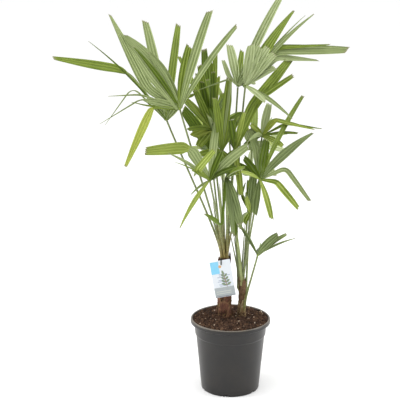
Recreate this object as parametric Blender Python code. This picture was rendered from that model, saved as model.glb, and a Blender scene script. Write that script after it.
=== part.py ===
"""Potted windmill palm: a nursery pot, two short stems and sixteen fan fronds.

Metres, +Z up. The origin is the centre of the pot's flat underside, and the
front of the plant looks along -Y.
"""
import math
from collections import namedtuple

import bmesh
import bpy
from mathutils import Vector

MM = 0.001
CLEAR = 0.3 * MM
WELD = 0.001 * MM
UP = Vector((0.0, 0.0, 1.0))

# Pot
POT_HEIGHT = 175 * MM
RIM_RADIUS = 95 * MM
RIM_DEPTH = 14 * MM
RIM_MOUTH = 87.5 * MM
RIM_DRAFT = 1 * MM
EDGE_CHAMFER = 2 * MM
COLLAR_TOP_RADIUS = 86 * MM
COLLAR_FOOT_RADIUS = 83 * MM
COLLAR_FOOT = 127 * MM
SHOULDER_RADIUS = 80.6 * MM
SHOULDER = 123 * MM
BASE_RADIUS = 69 * MM
BASE_THICKNESS = 5 * MM
WALL = 1.8 * MM
POT_SIDES = 40
NOTCHES = 6
NOTCH = Vector((14 * MM, 10 * MM, 7 * MM))
NOTCH_START = 0.35

# Soil
SOIL_TOP = 167.5 * MM

# Stems: the radii are at the foot, at the top of the root flare and at the tip
MAIN_FOOT = Vector((-14 * MM, 16 * MM, SOIL_TOP + CLEAR))
MAIN_TOP = Vector((-15 * MM, 6 * MM, 323 * MM))
MAIN_RADII = (20.5 * MM, 15.5 * MM, 12.6 * MM)
SIDE_FOOT = Vector((27 * MM, 12 * MM, SOIL_TOP + CLEAR))
SIDE_TOP = Vector((27.5 * MM, 6 * MM, 259 * MM))
SIDE_RADII = (10.5 * MM, 8 * MM, 6.6 * MM)
FLARE_TOP = 0.3
STEM_SIDES = 14

# Stalks
STALK_FOOT_RADIUS = 2.3 * MM
STALK_TIP_RADIUS = 1.3 * MM
STALK_SIDES = 6
STALK_RINGS = 9
STALK_RISE = 0.12
STALK_REACH = 0.35
MAIN_SPACING = 7 * MM
SIDE_SPACING = 3.4 * MM

# Fan blades
HUB_RADIUS = 5 * MM
LEAF_THICKNESS = 0.011
LEAF_LEAST_THICKNESS = 2 * MM
LEAF_FOLD = 0.17
LEAF_ARCH = 0.045
LEAF_START = 1.5 * MM
LEAF_OUTLINE = ((0.0, 0.34), (0.14, 0.58), (0.34, 0.86), (0.56, 1.0), (0.78, 0.92), (0.93, 0.72), (1.0, 0.42))
FOLD_ROUND = 0.22
BEFORE_FOLD = (0.35, 0.65)
PAST_FOLD = (0.55, 0.85)

# Label
CARD_WIDTH = 49 * MM
CARD_HEIGHT = 90 * MM
CARD_THICKNESS = 1 * MM
CARD_CENTRE = Vector((-19.2 * MM, -9 * MM, 274.3 * MM))
CARD_TURN = math.radians(-10)
STRAP_WIDTH = 3 * MM
STRAP_THICKNESS = 1 * MM
STRAP_X = -23 * MM
STRAP_FOOT = 308 * MM
STRAP_TOP = 324 * MM
STRAP_END = 317 * MM

# A leaflet is turn, lean, length and width. Turn is its bearing from straight up,
# clockwise as seen from the front; lean is its tilt towards the front; both are in
# degrees. Length and width are in millimetres. Where a leaflet is folded over, three
# more values give the turn, lean and length of the part past the fold.
Frond = namedtuple("Frond", "hub face seat sway leaflets")
FRONDS = {
    "upper_left": Frond((-117, -75, 689), (-0.15, -0.88, 0.42), ("main", -1, -1), (0, 0), (
        (-88, -11, 61, 13, -155, 20, 147),
        (-62, -20, 91, 15, -30, -26, 197),
        (-40, -25, 221, 20),
        (-35, -27, 178, 18),
        (11, -24, 149, 21),
        (18, -22, 237, 17),
        (35, -16, 227, 12))),
    "far_left": Frond((-149, 15, 648), (-0.1, -0.85, 0.5), ("main", -1, 0), (0, 0), (
        (-51, -25, 78, 7, -120, 11, 118),
        (-49, -25, 115, 7, -143, 22, 113),
        (-42, -27, 156, 13, -82, -11, 184),
        (-47, -26, 250, 7),
        (-14, -31, 259, 18),
        (7, -30, 240, 15))),
    "mid_back": Frond((-45, 45, 619), (-0.1, -0.8, 0.6), ("main", 0, 1), (0, 0), (
        (-116, 60, 95, 15),
        (-76, 54, 95, 15),
        (-47, -31, 94, 19),
        (-27, -36, 216, 12),
        (-6, -37, 133, 16),
        (29, -57, 130, 15))),
    "centre_up": Frond((-23, -45, 590), (0.1, -0.9, 0.4), ("main", 0, 0), (0, 0), (
        (6, -24, 168, 18),
        (8, -22, 166, 8, -108, 14, 81),
        (32, -40, 105, 14),
        (-18, -45, 130, 14))),
    "centre_right": Frond((6, -45, 591), (0.0, -0.9, 0.45), ("main", 1, 0), (0, 0), (
        (23, -25, 106, 24, 41, -21, 148),
        (27, -24, 129, 13, 58, -15, 99),
        (14, -30, 90, 11, -116, 12, 39),
        (-20, -60, 140, 14))),
    "top_back": Frond((15, 55, 720), (0.0, -0.8, 0.6), ("main", 1, 1), (0, 0), (
        (-33, -50, 98, 11),
        (-12, -36, 113, 17),
        (8, -37, 97, 11),
        (27, -19, 235, 17),
        (60, -70, 150, 14),
        (100, -72, 150, 14))),
    "top_right": Frond((30, 5, 728), (0.1, -0.85, 0.5), ("side", -1, 0), (-16, 0), (
        (36, -29, 225, 19),
        (47, -26, 247, 7),
        (41, -27, 110, 16, 91, -6, 180),
        (73, -16, 188, 15),
        (126, 14, 130, 10),
        (121, 54, 85, 13))),
    "front_left": Frond((-51, -125, 540), (0.0, -0.7, 0.7), ("main", 0, -1), (0, 0), (
        (-143, 39, 137, 8),
        (-62, -25, 116, 8),
        (-36, -39, 94, 27, -94, 4, 103),
        (20, -62, 110, 14),
        (8, -41, 150, 15),
        (54, -30, 126, 19))),
    "front_droop": Frond((-15, -105, 540), (0.1, -0.55, 0.83), ("main", 1, -1), (0, 0), (
        (91, -56, 50, 18),
        (159, 53, 136, 28),
        (-172, 57, 141, 9, -50, 10, 45),
        (173, 56, 165, 12),
        (40, 60, 110, 16))),
    "right_front": Frond((62, -65, 527), (0.1, -0.7, 0.7), ("side", 0.5, -1), (0, 0), (
        (-61, 33, 60, 9),
        (-5, -45, 79, 16, -22, -41, 59),
        (14, -45, 112, 19),
        (34, -42, 260, 8),
        (56, -34, 186, 18),
        (72, -24, 67, 8, 141, 35, 100),
        (99, 1, 36, 12, 137, 33, 85),
        (163, 42, 105, 9))),
    "right_young": Frond((42, -20, 438), (0.0, -0.85, 0.5), ("side flank", 0, 226), (0, 0), (
        (6, -12, 90, 18),
        (-25, -20, 45, 9, 20, -20, 30),
        (2, -60, 110, 14))),
    "right_back": Frond((72, 45, 605), (0.0, -0.75, 0.65), ("side", 0.5, 1), (0, 0), (
        (-68, -70, 90, 15),
        (16, -40, 89, 15),
        (66, -19, 63, 8, 97, 6, 87),
        (87, -3, 84, 8),
        (109, 49, 70, 15),
        (30, -75, 140, 14))),
    "low_right": Frond((60, -55, 346), (0.0, -0.85, 0.5), ("side flank", -50, 204), (0, 0), (
        (-35, -26, 104, 7),
        (37, 25, 80, 18),
        (46, 23, 95, 9),
        (58, 22, 105, 6))),
    "rear_left": Frond((-46, 150, 545), (0.0, -0.5, 0.85), ("main", -1, 1), (0, 0), (
        (-31, -16, 122, 23),
        (-10, -18, 197, 17),
        (-4, -18, 254, 20),
        (-1, -19, 231, 20),
        (3, -18, 239, 15),
        (12, -18, 148, 17),
        (-110, -62, 180, 18),
        (-36, -66, 180, 18),
        (8, -60, 180, 17),
        (82, -62, 180, 17),
        (-158, -56, 180, 18),
        (162, -50, 180, 16))),
    "rear_right": Frond((53, 140, 552), (0.0, 0.3, 0.95), ("side flank", 75, 236), (0, 0), (
        (-28, -72, 185, 18),
        (12, -66, 185, 17),
        (52, -67, 185, 18),
        (84, -57, 185, 18),
        (112, -57, 185, 18),
        (146, -50, 185, 17),
        (176, -62, 185, 16),
        (-146, -66, 185, 18))),
    "rear_top": Frond((-5, 150, 629), (0.0, 0.3, 0.95), ("side flank", 180, 248), (0, 0), (
        (-96, -70, 190, 16),
        (-58, -71, 190, 17),
        (-27, -68, 190, 17),
        (4, -74, 190, 16),
        (112, -64, 190, 16),
        (150, -72, 160, 15))),
}


def clear_scene():
    for obj in list(bpy.data.objects):
        bpy.data.objects.remove(obj)


def finish(name, colour, roughness, metallic=0.0):
    """A plain finish; colour is linear red, green and blue."""
    material = bpy.data.materials.new(name)
    material.use_nodes = True
    shader = material.node_tree.nodes["Principled BSDF"]
    shader.inputs["Base Color"].default_value = (*colour, 1.0)
    shader.inputs["Roughness"].default_value = roughness
    shader.inputs["Metallic"].default_value = metallic
    material.diffuse_color = (*colour, 1.0)
    return material


def new_object(name, bm, material=None, collection=None):
    """Turns a bmesh into an object with its faces pointing out."""
    bmesh.ops.remove_doubles(bm, verts=bm.verts, dist=WELD)
    bmesh.ops.recalc_face_normals(bm, faces=bm.faces)
    mesh = bpy.data.meshes.new(name)
    bm.to_mesh(mesh)
    bm.free()
    if material:
        mesh.materials.append(material)
    obj = bpy.data.objects.new(name, mesh)
    (collection or bpy.context.scene.collection).objects.link(obj)
    return obj


def smooth(obj, sharp_degrees=35):
    obj.data.shade_smooth()
    obj.data.set_sharp_from_angle(angle=math.radians(sharp_degrees))


# Pot and soil


def wall_radius(z):
    """Outer radius of the pot's side at height z."""
    if z <= SHOULDER:
        return BASE_RADIUS + (SHOULDER_RADIUS - BASE_RADIUS) * z / SHOULDER
    share = (z - COLLAR_FOOT) / (POT_HEIGHT - RIM_DEPTH - COLLAR_FOOT)
    return COLLAR_FOOT_RADIUS + (COLLAR_TOP_RADIUS - COLLAR_FOOT_RADIUS) * share


def turned(name, profile, material):
    """Spins a list of (radius, height) about the Z axis into a closed solid."""
    bm = bmesh.new()
    points = [bm.verts.new((radius, 0.0, z)) for radius, z in profile]
    edges = [bm.edges.new(pair) for pair in zip(points, points[1:])]
    bmesh.ops.spin(bm, geom=points + edges, cent=(0, 0, 0), axis=(0, 0, 1),
                   angle=math.tau, steps=POT_SIDES, use_merge=True)
    obj = new_object(name, bm, material)
    smooth(obj)
    return obj


def pot_profile():
    under_rim = POT_HEIGHT - RIM_DEPTH
    outside = [
        (0.0, 0.0),
        (BASE_RADIUS - EDGE_CHAMFER, 0.0),
        (wall_radius(EDGE_CHAMFER), EDGE_CHAMFER),
        (wall_radius(SHOULDER), SHOULDER),
        (COLLAR_FOOT_RADIUS, COLLAR_FOOT),
        (COLLAR_TOP_RADIUS, under_rim),
        (RIM_RADIUS - EDGE_CHAMFER, under_rim + RIM_DRAFT),
        (RIM_RADIUS, under_rim + RIM_DRAFT + EDGE_CHAMFER),
        (RIM_RADIUS, POT_HEIGHT - EDGE_CHAMFER),
        (RIM_RADIUS - EDGE_CHAMFER, POT_HEIGHT),
        (RIM_MOUTH, POT_HEIGHT),
    ]
    inside = [
        (COLLAR_TOP_RADIUS - WALL, under_rim + EDGE_CHAMFER),
        (COLLAR_FOOT_RADIUS - WALL, COLLAR_FOOT + WALL),
        (wall_radius(SHOULDER) - WALL, SHOULDER + WALL),
        (wall_radius(BASE_THICKNESS) - WALL, BASE_THICKNESS),
        (0.0, BASE_THICKNESS),
    ]
    return outside + inside


def make_pot(material):
    pot = turned("pot", pot_profile(), material)
    cutters = bpy.data.collections.new("foot_notches")
    bpy.context.scene.collection.children.link(cutters)
    for index in range(NOTCHES):
        bm = bmesh.new()
        bmesh.ops.create_cube(bm, size=1.0)
        bmesh.ops.scale(bm, vec=NOTCH, verts=bm.verts)
        cutter = new_object(f"foot_notch_{index + 1}", bm, collection=cutters)
        angle = math.tau * (index + NOTCH_START) / NOTCHES
        cutter.location = Vector((math.cos(angle), math.sin(angle), 0.0)) * BASE_RADIUS
        cutter.rotation_euler.z = angle
        cutter.hide_render = True
        cutter.display_type = "WIRE"
    cut = pot.modifiers.new("foot notches", "BOOLEAN")
    cut.operand_type = "COLLECTION"
    cut.collection = cutters
    cut.operation = "DIFFERENCE"
    cut.solver = "EXACT"


def make_soil(material):
    """The root ball fills the pot to just under its rim."""
    fit = WALL + CLEAR
    foot = BASE_THICKNESS + CLEAR
    profile = [
        (0.0, foot),
        (wall_radius(foot) - fit, foot),
        (wall_radius(SHOULDER) - fit, SHOULDER + WALL),
        (COLLAR_FOOT_RADIUS - fit, COLLAR_FOOT + WALL + CLEAR),
        (COLLAR_TOP_RADIUS - fit, POT_HEIGHT - RIM_DEPTH + CLEAR),
        (COLLAR_TOP_RADIUS - fit, SOIL_TOP),
        (0.0, SOIL_TOP),
    ]
    turned("soil", profile, material)


# Tubes


def tube(rings):
    """Skins equal rings of points, with a flat cap at each end."""
    bm = bmesh.new()
    loops = [[bm.verts.new(point) for point in ring] for ring in rings]
    count = len(loops[0])
    for low, high in zip(loops, loops[1:]):
        for i in range(count):
            j = (i + 1) % count
            bm.faces.new((low[i], low[j], high[j], high[i]))
    bm.faces.new(reversed(loops[0]))
    bm.faces.new(loops[-1])
    return bm


def circle(centre, radius, sides, across=Vector((1, 0, 0)), along=Vector((0, 1, 0))):
    angles = [math.tau * i / sides for i in range(sides)]
    return [centre + radius * (math.cos(a) * across + math.sin(a) * along) for a in angles]


def stem_centre(foot, top, share):
    """The stem leans, and its rings stay level."""
    return foot.lerp(top, share)


def stem_radius(radii, share):
    """Flares quickly at the root, then tapers evenly to the top."""
    foot, waist, top = radii
    if share >= FLARE_TOP:
        return waist + (top - waist) * (share - FLARE_TOP) / (1 - FLARE_TOP)
    return foot + (waist - foot) * math.sin(share / FLARE_TOP * math.pi / 2)


def make_stem(name, foot, top, radii, material):
    shares = (0.0, 0.07, 0.16, FLARE_TOP, 0.55, 0.8, 1.0)
    rings = [
        circle(stem_centre(foot, top, share), stem_radius(radii, share), STEM_SIDES)
        for share in shares
    ]
    smooth(new_object(name, tube(rings), material))


def seat_of(seat):
    """Where a stalk's foot stands: in a grid on a stem's top, or against its flank."""
    kind, first, second = seat
    lift = CLEAR * UP
    if kind == "main":
        return MAIN_TOP + MAIN_SPACING * Vector((first, second, 0)) + lift
    if kind == "side":
        return SIDE_TOP + SIDE_SPACING * Vector((first, second * math.sqrt(3) / 2, 0)) + lift
    angle = math.radians(first)
    share = (second * MM - SIDE_FOOT.z) / (SIDE_TOP.z - SIDE_FOOT.z)
    reach = stem_radius(SIDE_RADII, share) + STALK_FOOT_RADIUS + CLEAR
    outward = Vector((math.cos(angle), math.sin(angle), 0))
    return stem_centre(SIDE_FOOT, SIDE_TOP, share) + reach * outward


def bezier(points, t):
    a, b, c, d = points
    s = 1 - t
    return a * s ** 3 + b * 3 * s * s * t + c * 3 * s * t * t + d * t ** 3


def make_stalk(name, frond, material):
    """A slender stalk that stands up from its seat and bends over to the hub."""
    foot = seat_of(frond.seat)
    hub = Vector(frond.hub) * MM
    length = (hub - foot).length
    way = (hub - foot) / length
    end = hub - way * (HUB_RADIUS + CLEAR)
    sway = Vector((*frond.sway, 0)) * MM
    rise = foot + UP * STALK_RISE * length + sway
    reach = end - way * STALK_REACH * length + sway
    guide = (foot, rise, reach, end)
    centres = [bezier(guide, i / (STALK_RINGS - 1)) for i in range(STALK_RINGS)]
    rings = []
    for index, centre in enumerate(centres):
        share = index / (STALK_RINGS - 1)
        before = centres[max(index - 1, 0)]
        after = centres[min(index + 1, STALK_RINGS - 1)]
        along = UP if index == 0 else (after - before).normalized()
        across = along.cross(Vector((0, 1, 0))).normalized()
        radius = STALK_FOOT_RADIUS + (STALK_TIP_RADIUS - STALK_FOOT_RADIUS) * share
        rings.append(circle(centre, radius, STALK_SIDES, across, along.cross(across)))
    smooth(new_object(name, tube(rings), material))


# Fan blades


def bearing(turn, lean):
    """Unit direction of a leaflet from its turn and lean."""
    turn, lean = math.radians(turn), math.radians(lean)
    return Vector((math.sin(turn) * math.cos(lean), -math.sin(lean), math.cos(turn) * math.cos(lean)))


def straight_path(leaflet):
    """Points of an arched leaflet, from the hub at the origin, with their shares."""
    turn, lean, length, _ = leaflet
    way = bearing(turn, lean)
    rise = (UP - UP.dot(way) * way).normalized()
    path = []
    for share, _ in LEAF_OUTLINE:
        arch = 4 * share * (1 - share) * LEAF_ARCH * length
        path.append((share, (way * length * share + rise * arch) * MM))
    return path


def folded_path(leaflet):
    """Points of a leaflet that is folded over, rounded at its fold."""
    turn, lean, first, _, turn_past, lean_past, past = leaflet
    fold = bearing(turn, lean) * first * MM
    tip = fold + bearing(turn_past, lean_past) * past * MM
    whole = first + past
    near = min(FOLD_ROUND * first, FOLD_ROUND * past)
    enter = fold.lerp(Vector(), near / first)
    leave = fold.lerp(tip, near / past)
    middle = (enter + 2 * fold + leave) / 4
    at = first / whole
    half = near / whole
    before = [(at * part, fold * part) for part in BEFORE_FOLD]
    beyond = [(at + (1 - at) * part, fold.lerp(tip, part)) for part in PAST_FOLD]
    bend = [(at - half, enter), (at, middle), (at + half, leave)]
    return [(0.0, Vector()), *before, *bend, *beyond, (1.0, tip)]


def outline(share):
    """Width of a leaflet along its length, as a part of its full width."""
    for (low, narrow), (high, wide) in zip(LEAF_OUTLINE, LEAF_OUTLINE[1:]):
        if share <= high:
            return narrow + (wide - narrow) * (share - low) / (high - low)
    return LEAF_OUTLINE[-1][1]


def leaflet_bmesh(leaflet, face):
    """A thin strip, folded to a shallow V about its midrib, with a blunt tip."""
    path = folded_path(leaflet) if len(leaflet) > 4 else straight_path(leaflet)
    length = leaflet[2] + (leaflet[6] if len(leaflet) > 4 else 0)
    thickness = max(LEAF_THICKNESS * length * MM, LEAF_LEAST_THICKNESS)
    rings = []
    for index, (share, point) in enumerate(path):
        before = path[max(index - 1, 0)][1]
        after = path[min(index + 1, len(path) - 1)][1]
        along = (after - before).normalized()
        normal = (face - face.dot(along) * along).normalized()
        side = along.cross(normal)
        width = leaflet[3] * MM * outline(share)
        edge = normal * LEAF_FOLD * width
        half = side * width / 2
        rings.append((
            point - half + edge,
            point - normal * thickness / 2,
            point + half + edge,
            point + normal * thickness / 2,
        ))
    start = bearing(leaflet[0], leaflet[1]) * LEAF_START
    bm = tube([[start + corner for corner in ring] for ring in rings])
    bmesh.ops.triangulate(bm, faces=bm.faces)
    return bm


def keep_outer_shell(mesh):
    """Leaves the largest closed shell of a fused blade, without scraps or sealed pockets."""
    bm = bmesh.new()
    bm.from_mesh(mesh)
    bm.verts.ensure_lookup_table()
    shells, seen = [], set()
    for first in bm.verts:
        if first in seen:
            continue
        seen.add(first)
        shell, queue = [], [first]
        while queue:
            vert = queue.pop()
            shell.append(vert)
            for edge in vert.link_edges:
                other = edge.other_vert(vert)
                if other not in seen:
                    seen.add(other)
                    queue.append(other)
        shells.append(shell)
    shells.sort(key=len)
    bmesh.ops.delete(bm, geom=[vert for shell in shells[:-1] for vert in shell], context="VERTS")
    bm.to_mesh(mesh)
    bm.free()


def make_blade(name, frond, material):
    """Fuses a frond's leaflets on its hub into one thin solid."""
    face = Vector(frond.face).normalized()
    bm = bmesh.new()
    bmesh.ops.create_icosphere(bm, subdivisions=2, radius=HUB_RADIUS)
    blade = new_object(name, bm, material)
    leaves = bpy.data.collections.new(f"{name}_leaflets")
    bpy.context.scene.collection.children.link(leaves)
    for index, leaflet in enumerate(frond.leaflets):
        new_object(f"{name}_leaflet_{index + 1}", leaflet_bmesh(leaflet, face), material, leaves)
    join = blade.modifiers.new("fuse leaflets", "BOOLEAN")
    join.operand_type = "COLLECTION"
    join.collection = leaves
    join.operation = "UNION"
    join.solver = "EXACT"
    graph = bpy.context.evaluated_depsgraph_get()
    fused = bpy.data.meshes.new_from_object(blade.evaluated_get(graph))
    blade.modifiers.clear()
    blade.data = fused
    for leaf in list(leaves.objects):
        bpy.data.objects.remove(leaf)
    bpy.data.collections.remove(leaves)
    keep_outer_shell(fused)
    fused.name = name
    blade.location = Vector(frond.hub) * MM


# Label


def make_label(card_material, strap_material):
    """A hanging card and the strap that holds it to the main stem's top."""
    bm = bmesh.new()
    bmesh.ops.create_cube(bm, size=1.0)
    bmesh.ops.scale(bm, vec=(CARD_WIDTH, CARD_THICKNESS, CARD_HEIGHT), verts=bm.verts)
    card = new_object("label_card", bm, card_material)
    card.location = CARD_CENTRE
    card.rotation_euler.y = CARD_TURN
    front = CARD_CENTRE.y - CARD_THICKNESS / 2 - CLEAR - STRAP_THICKNESS / 2
    share = (STRAP_END - MAIN_FOOT.z) / (MAIN_TOP.z - MAIN_FOOT.z)
    axis = stem_centre(MAIN_FOOT, MAIN_TOP, share)
    radius = stem_radius(MAIN_RADII, share)
    beside = math.sqrt(radius ** 2 - (abs(STRAP_X - axis.x) - STRAP_WIDTH / 2) ** 2)
    stem_front = axis.y - beside - CLEAR - STRAP_THICKNESS / 2
    route = (
        (front, STRAP_FOOT),
        (front, STRAP_TOP - STRAP_WIDTH),
        ((front + stem_front) / 2, STRAP_TOP),
        (stem_front, STRAP_TOP - STRAP_WIDTH),
        (stem_front, STRAP_END),
    )
    rings = []
    for index, (y, z) in enumerate(route):
        before = Vector((0, *route[max(index - 1, 0)]))
        after = Vector((0, *route[min(index + 1, len(route) - 1)]))
        along = (after - before).normalized()
        half_width = Vector((STRAP_WIDTH / 2, 0, 0))
        half_thick = along.cross(Vector((1, 0, 0))) * STRAP_THICKNESS / 2
        centre = Vector((STRAP_X, y, z))
        rings.append((
            centre - half_width - half_thick,
            centre + half_width - half_thick,
            centre + half_width + half_thick,
            centre - half_width + half_thick,
        ))
    new_object("label_strap", tube(rings), strap_material)


def main():
    clear_scene()
    pot_plastic = finish("recycled_polypropylene", (0.07, 0.068, 0.064), 0.45)
    peat = finish("peat", (0.06, 0.03, 0.02), 0.95)
    bark = finish("fibrous_bark", (0.13, 0.075, 0.045), 0.9)
    stalk_green = finish("leaf_stalk", (0.16, 0.19, 0.09), 0.5)
    leaf_green = finish("palm_leaf", (0.13, 0.23, 0.045), 0.5)
    card = finish("printed_card", (0.7, 0.78, 0.8), 0.4)
    strap = finish("strap_plastic", (0.02, 0.02, 0.02), 0.5)
    make_pot(pot_plastic)
    make_soil(peat)
    make_stem("trunk_main", MAIN_FOOT, MAIN_TOP, MAIN_RADII, bark)
    make_stem("stem_side", SIDE_FOOT, SIDE_TOP, SIDE_RADII, bark)
    for place, frond in FRONDS.items():
        make_stalk(f"stalk_{place}", frond, stalk_green)
        make_blade(f"blade_{place}", frond, leaf_green)
    make_label(card, strap)


main()
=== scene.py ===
# %% [markdown]
# A young windmill palm in its nursery pot.
#
# The plant is built in the order in which it would be potted and grow: the pot, its
# peat, two short fibrous stems, sixteen stalks, and a fan of pleated leaflets on each.
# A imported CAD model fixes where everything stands, so this lesson starts by loading it.
# Each piece here takes the place of the plain solid with the same job.

# %% Load the fixed frame
import math
import random
from collections import namedtuple

import bmesh
import bpy
from mathutils import Matrix, Vector, noise


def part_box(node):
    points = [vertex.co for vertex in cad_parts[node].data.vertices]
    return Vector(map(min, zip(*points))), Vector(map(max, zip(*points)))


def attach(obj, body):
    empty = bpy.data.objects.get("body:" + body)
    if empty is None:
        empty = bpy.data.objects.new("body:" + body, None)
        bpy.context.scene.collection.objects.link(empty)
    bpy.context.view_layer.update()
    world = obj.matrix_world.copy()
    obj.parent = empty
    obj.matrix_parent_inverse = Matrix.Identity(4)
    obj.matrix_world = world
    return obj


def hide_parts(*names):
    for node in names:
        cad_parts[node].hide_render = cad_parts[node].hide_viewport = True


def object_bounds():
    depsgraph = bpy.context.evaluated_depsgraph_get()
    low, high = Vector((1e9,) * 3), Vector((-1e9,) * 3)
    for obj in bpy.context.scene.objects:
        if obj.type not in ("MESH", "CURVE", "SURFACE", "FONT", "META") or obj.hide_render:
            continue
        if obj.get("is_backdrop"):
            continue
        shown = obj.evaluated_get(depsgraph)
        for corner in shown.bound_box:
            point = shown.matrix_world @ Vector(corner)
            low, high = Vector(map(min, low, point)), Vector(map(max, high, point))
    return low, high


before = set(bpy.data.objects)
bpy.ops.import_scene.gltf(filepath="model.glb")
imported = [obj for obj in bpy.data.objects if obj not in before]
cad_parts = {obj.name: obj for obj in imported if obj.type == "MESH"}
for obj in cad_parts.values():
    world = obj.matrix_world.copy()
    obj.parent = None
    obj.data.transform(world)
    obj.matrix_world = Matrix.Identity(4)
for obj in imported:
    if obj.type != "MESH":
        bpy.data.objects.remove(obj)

MM = 0.001
UP = Vector((0.0, 0.0, 1.0))
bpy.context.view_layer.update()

# %% [markdown]
# The camera stands where the photographer's stood.
#
# The outline of a round pot says a lot about a camera: how wide its rim's ellipse is
# shows how far the view looks down. Here that gives a long lens about 2.5 m in front of
# the plant and 1.1 m up. A long lens keeps the stalks from leaning away at the top.

# %% Camera
CAMERA_PLACE = Vector((-0.0725, -2.5, 1.10))
CAMERA_PITCH = math.radians(14.3)
FOCAL_PIXELS = 1113
FRAME_PIXELS = 400
SENSOR_WIDTH = 36

lens_data = bpy.data.cameras.new("long_lens")
lens_data.sensor_width = SENSOR_WIDTH
lens_data.lens = FOCAL_PIXELS * SENSOR_WIDTH / FRAME_PIXELS
camera = bpy.data.objects.new("studio_camera", lens_data)
camera.location = CAMERA_PLACE
camera.rotation_euler = (math.pi / 2 - CAMERA_PITCH, 0, 0)
bpy.context.scene.collection.objects.link(camera)
bpy.context.scene.camera = camera
print("lens", round(lens_data.lens, 1), "mm")

# %% [markdown]
# Small helpers come first, because every piece uses them.
#
# A hex colour is how a screen stores it, with most steps spent on the dark tones. The
# renderer counts light instead, so one function turns the code to linear values. One
# more function adds a shader node with its settings and its links in a single call,
# which keeps each material readable as a short list. It hands back the node's outputs,
# and the caller picks one by its name or number.

# %% Colour and node helpers
def linear(code):
    """Linear red, green, blue and alpha of an sRGB hex colour."""
    parts = [int(code[i:i + 2], 16) / 255 for i in (1, 3, 5)]
    light = [p / 12.92 if p <= 0.04045 else ((p + 0.055) / 1.055) ** 2.4 for p in parts]
    return (*light, 1.0)


def add(tree, kind, inputs=None, **settings):
    """Adds a shader node; an input is a value, a hex colour, or the socket it is linked to."""
    node = tree.nodes.new("ShaderNode" + kind)
    for key, value in settings.items():
        setattr(node, key, value)
    for key, value in (inputs or {}).items():
        if isinstance(value, bpy.types.NodeSocket):
            tree.links.new(value, node.inputs[key])
        else:
            node.inputs[key].default_value = linear(value) if isinstance(value, str) else value
    return node.outputs


def start_material(name, roughness, ior, gloss=0.5):
    """A material with its shader, ready for colour and bump."""
    material = bpy.data.materials.new(name)
    material.use_nodes = True
    shader = material.node_tree.nodes["Principled BSDF"]
    for key, value in (("Roughness", roughness), ("IOR", ior), ("Specular IOR Level", gloss)):
        shader.inputs[key].default_value = value
    return material, material.node_tree, shader


def coat(shader, tone, bump=None):
    """Links a finish's colour and its relief to the shader."""
    links = shader.id_data.links
    links.new(tone, shader.inputs["Base Color"])
    if bump is not None:
        links.new(bump, shader.inputs["Normal"])


print("grey card", [round(v, 3) for v in linear("#808080")])

# %% [markdown]
# The floor and the light are those of a plain white studio.
#
# Even light shows a plant best. A white sky all round gives it. It is a little brighter
# overhead than in front, which lets the upper and lower sides of the leaves differ. Two
# tall softboxes stand at the sides, where the round pot shows them as two pale bands,
# and a wide one hangs above. The floor reaches far behind the plant, because the camera
# looks down at it.

# %% Floor, sky and lamps
FLOOR_HALF = 40.0
FLOOR_DROP = 0.2 * MM
SKY_LOW = 0.82
SKY_HIGH = 1.24
SKY_FRONT = 0.5
LAMPS = {
    "left_softbox": ((-2.45, -0.1, 1.2), (1.1, 2.4), 36),
    "right_softbox": ((2.45, -0.1, 1.2), (1.1, 2.4), 36),
    "top_softbox": ((-0.5, -0.9, 3.3), (2.2, 2.2), 34),
}
LAMP_AIM = Vector((0, 0, 0.5))

bpy.context.scene.view_settings.view_transform = "Standard"
sky = bpy.data.worlds.new("white_studio")
sky.use_nodes = True
tree = sky.node_tree
heading = add(tree, "SeparateXYZ", {0: add(tree, "TexCoord")["Generated"]})
upward = {"Value": heading["Z"], "From Max": 0.7, "To Min": SKY_LOW, "To Max": SKY_HIGH}
forward = {"Value": heading["Y"], "From Min": -0.9, "From Max": 0.0, "To Min": SKY_FRONT}
rise, front = [add(tree, "MapRange", way)["Result"] for way in (upward, forward)]
glow = add(tree, "Math", {0: rise, 1: front}, operation="MULTIPLY")[0]
strength = add(tree, "Mix", {0: add(tree, "LightPath")["Is Camera Ray"], 2: glow, 3: 1.0})[0]
tree.links.new(strength, tree.nodes["Background"].inputs["Strength"])
tree.nodes["Background"].inputs["Color"].default_value = linear("#ffffff")
bpy.context.scene.world = sky

floor_mesh = bpy.data.meshes.new("studio_floor")
corners = [(x * FLOOR_HALF, y * FLOOR_HALF, -FLOOR_DROP) for x, y in ((-1, -1), (1, -1), (1, 1), (-1, 1))]
floor_mesh.from_pydata(corners, [], [(0, 1, 2, 3)])
floor_paint, floor_tree, floor_shader = start_material("matt_white_paint", 0.9, 1.5)
floor_shader.inputs["Base Color"].default_value = linear("#fbfbfb")
floor_mesh.materials.append(floor_paint)
floor = bpy.data.objects.new("studio_floor", floor_mesh)
bpy.context.scene.collection.objects.link(floor)
floor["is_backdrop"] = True

for lamp_name, (place, size, watts) in LAMPS.items():
    lamp_data = bpy.data.lights.new(lamp_name, "AREA")
    lamp_data.shape = "RECTANGLE"
    lamp_data.size, lamp_data.size_y = size
    lamp_data.energy = watts
    lamp = bpy.data.objects.new(lamp_name, lamp_data)
    lamp.location = place
    lamp.rotation_euler = (LAMP_AIM - Vector(place)).to_track_quat("-Z", "Y").to_euler()
    bpy.context.scene.collection.objects.link(lamp)
print("lamps", len(LAMPS))

# %% [markdown]
# Everything on the plant is made of skins of points.
#
# A stalk is a stack of rings and a leaflet is a stack of cross-sections, so one small
# store can gather them all: the points, the faces between them, which finish each face
# has, and two flat maps. One map holds real metres, for patterns with a real size. The
# other holds shares from 0 to 1, for what happens near an edge or a tip.

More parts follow.
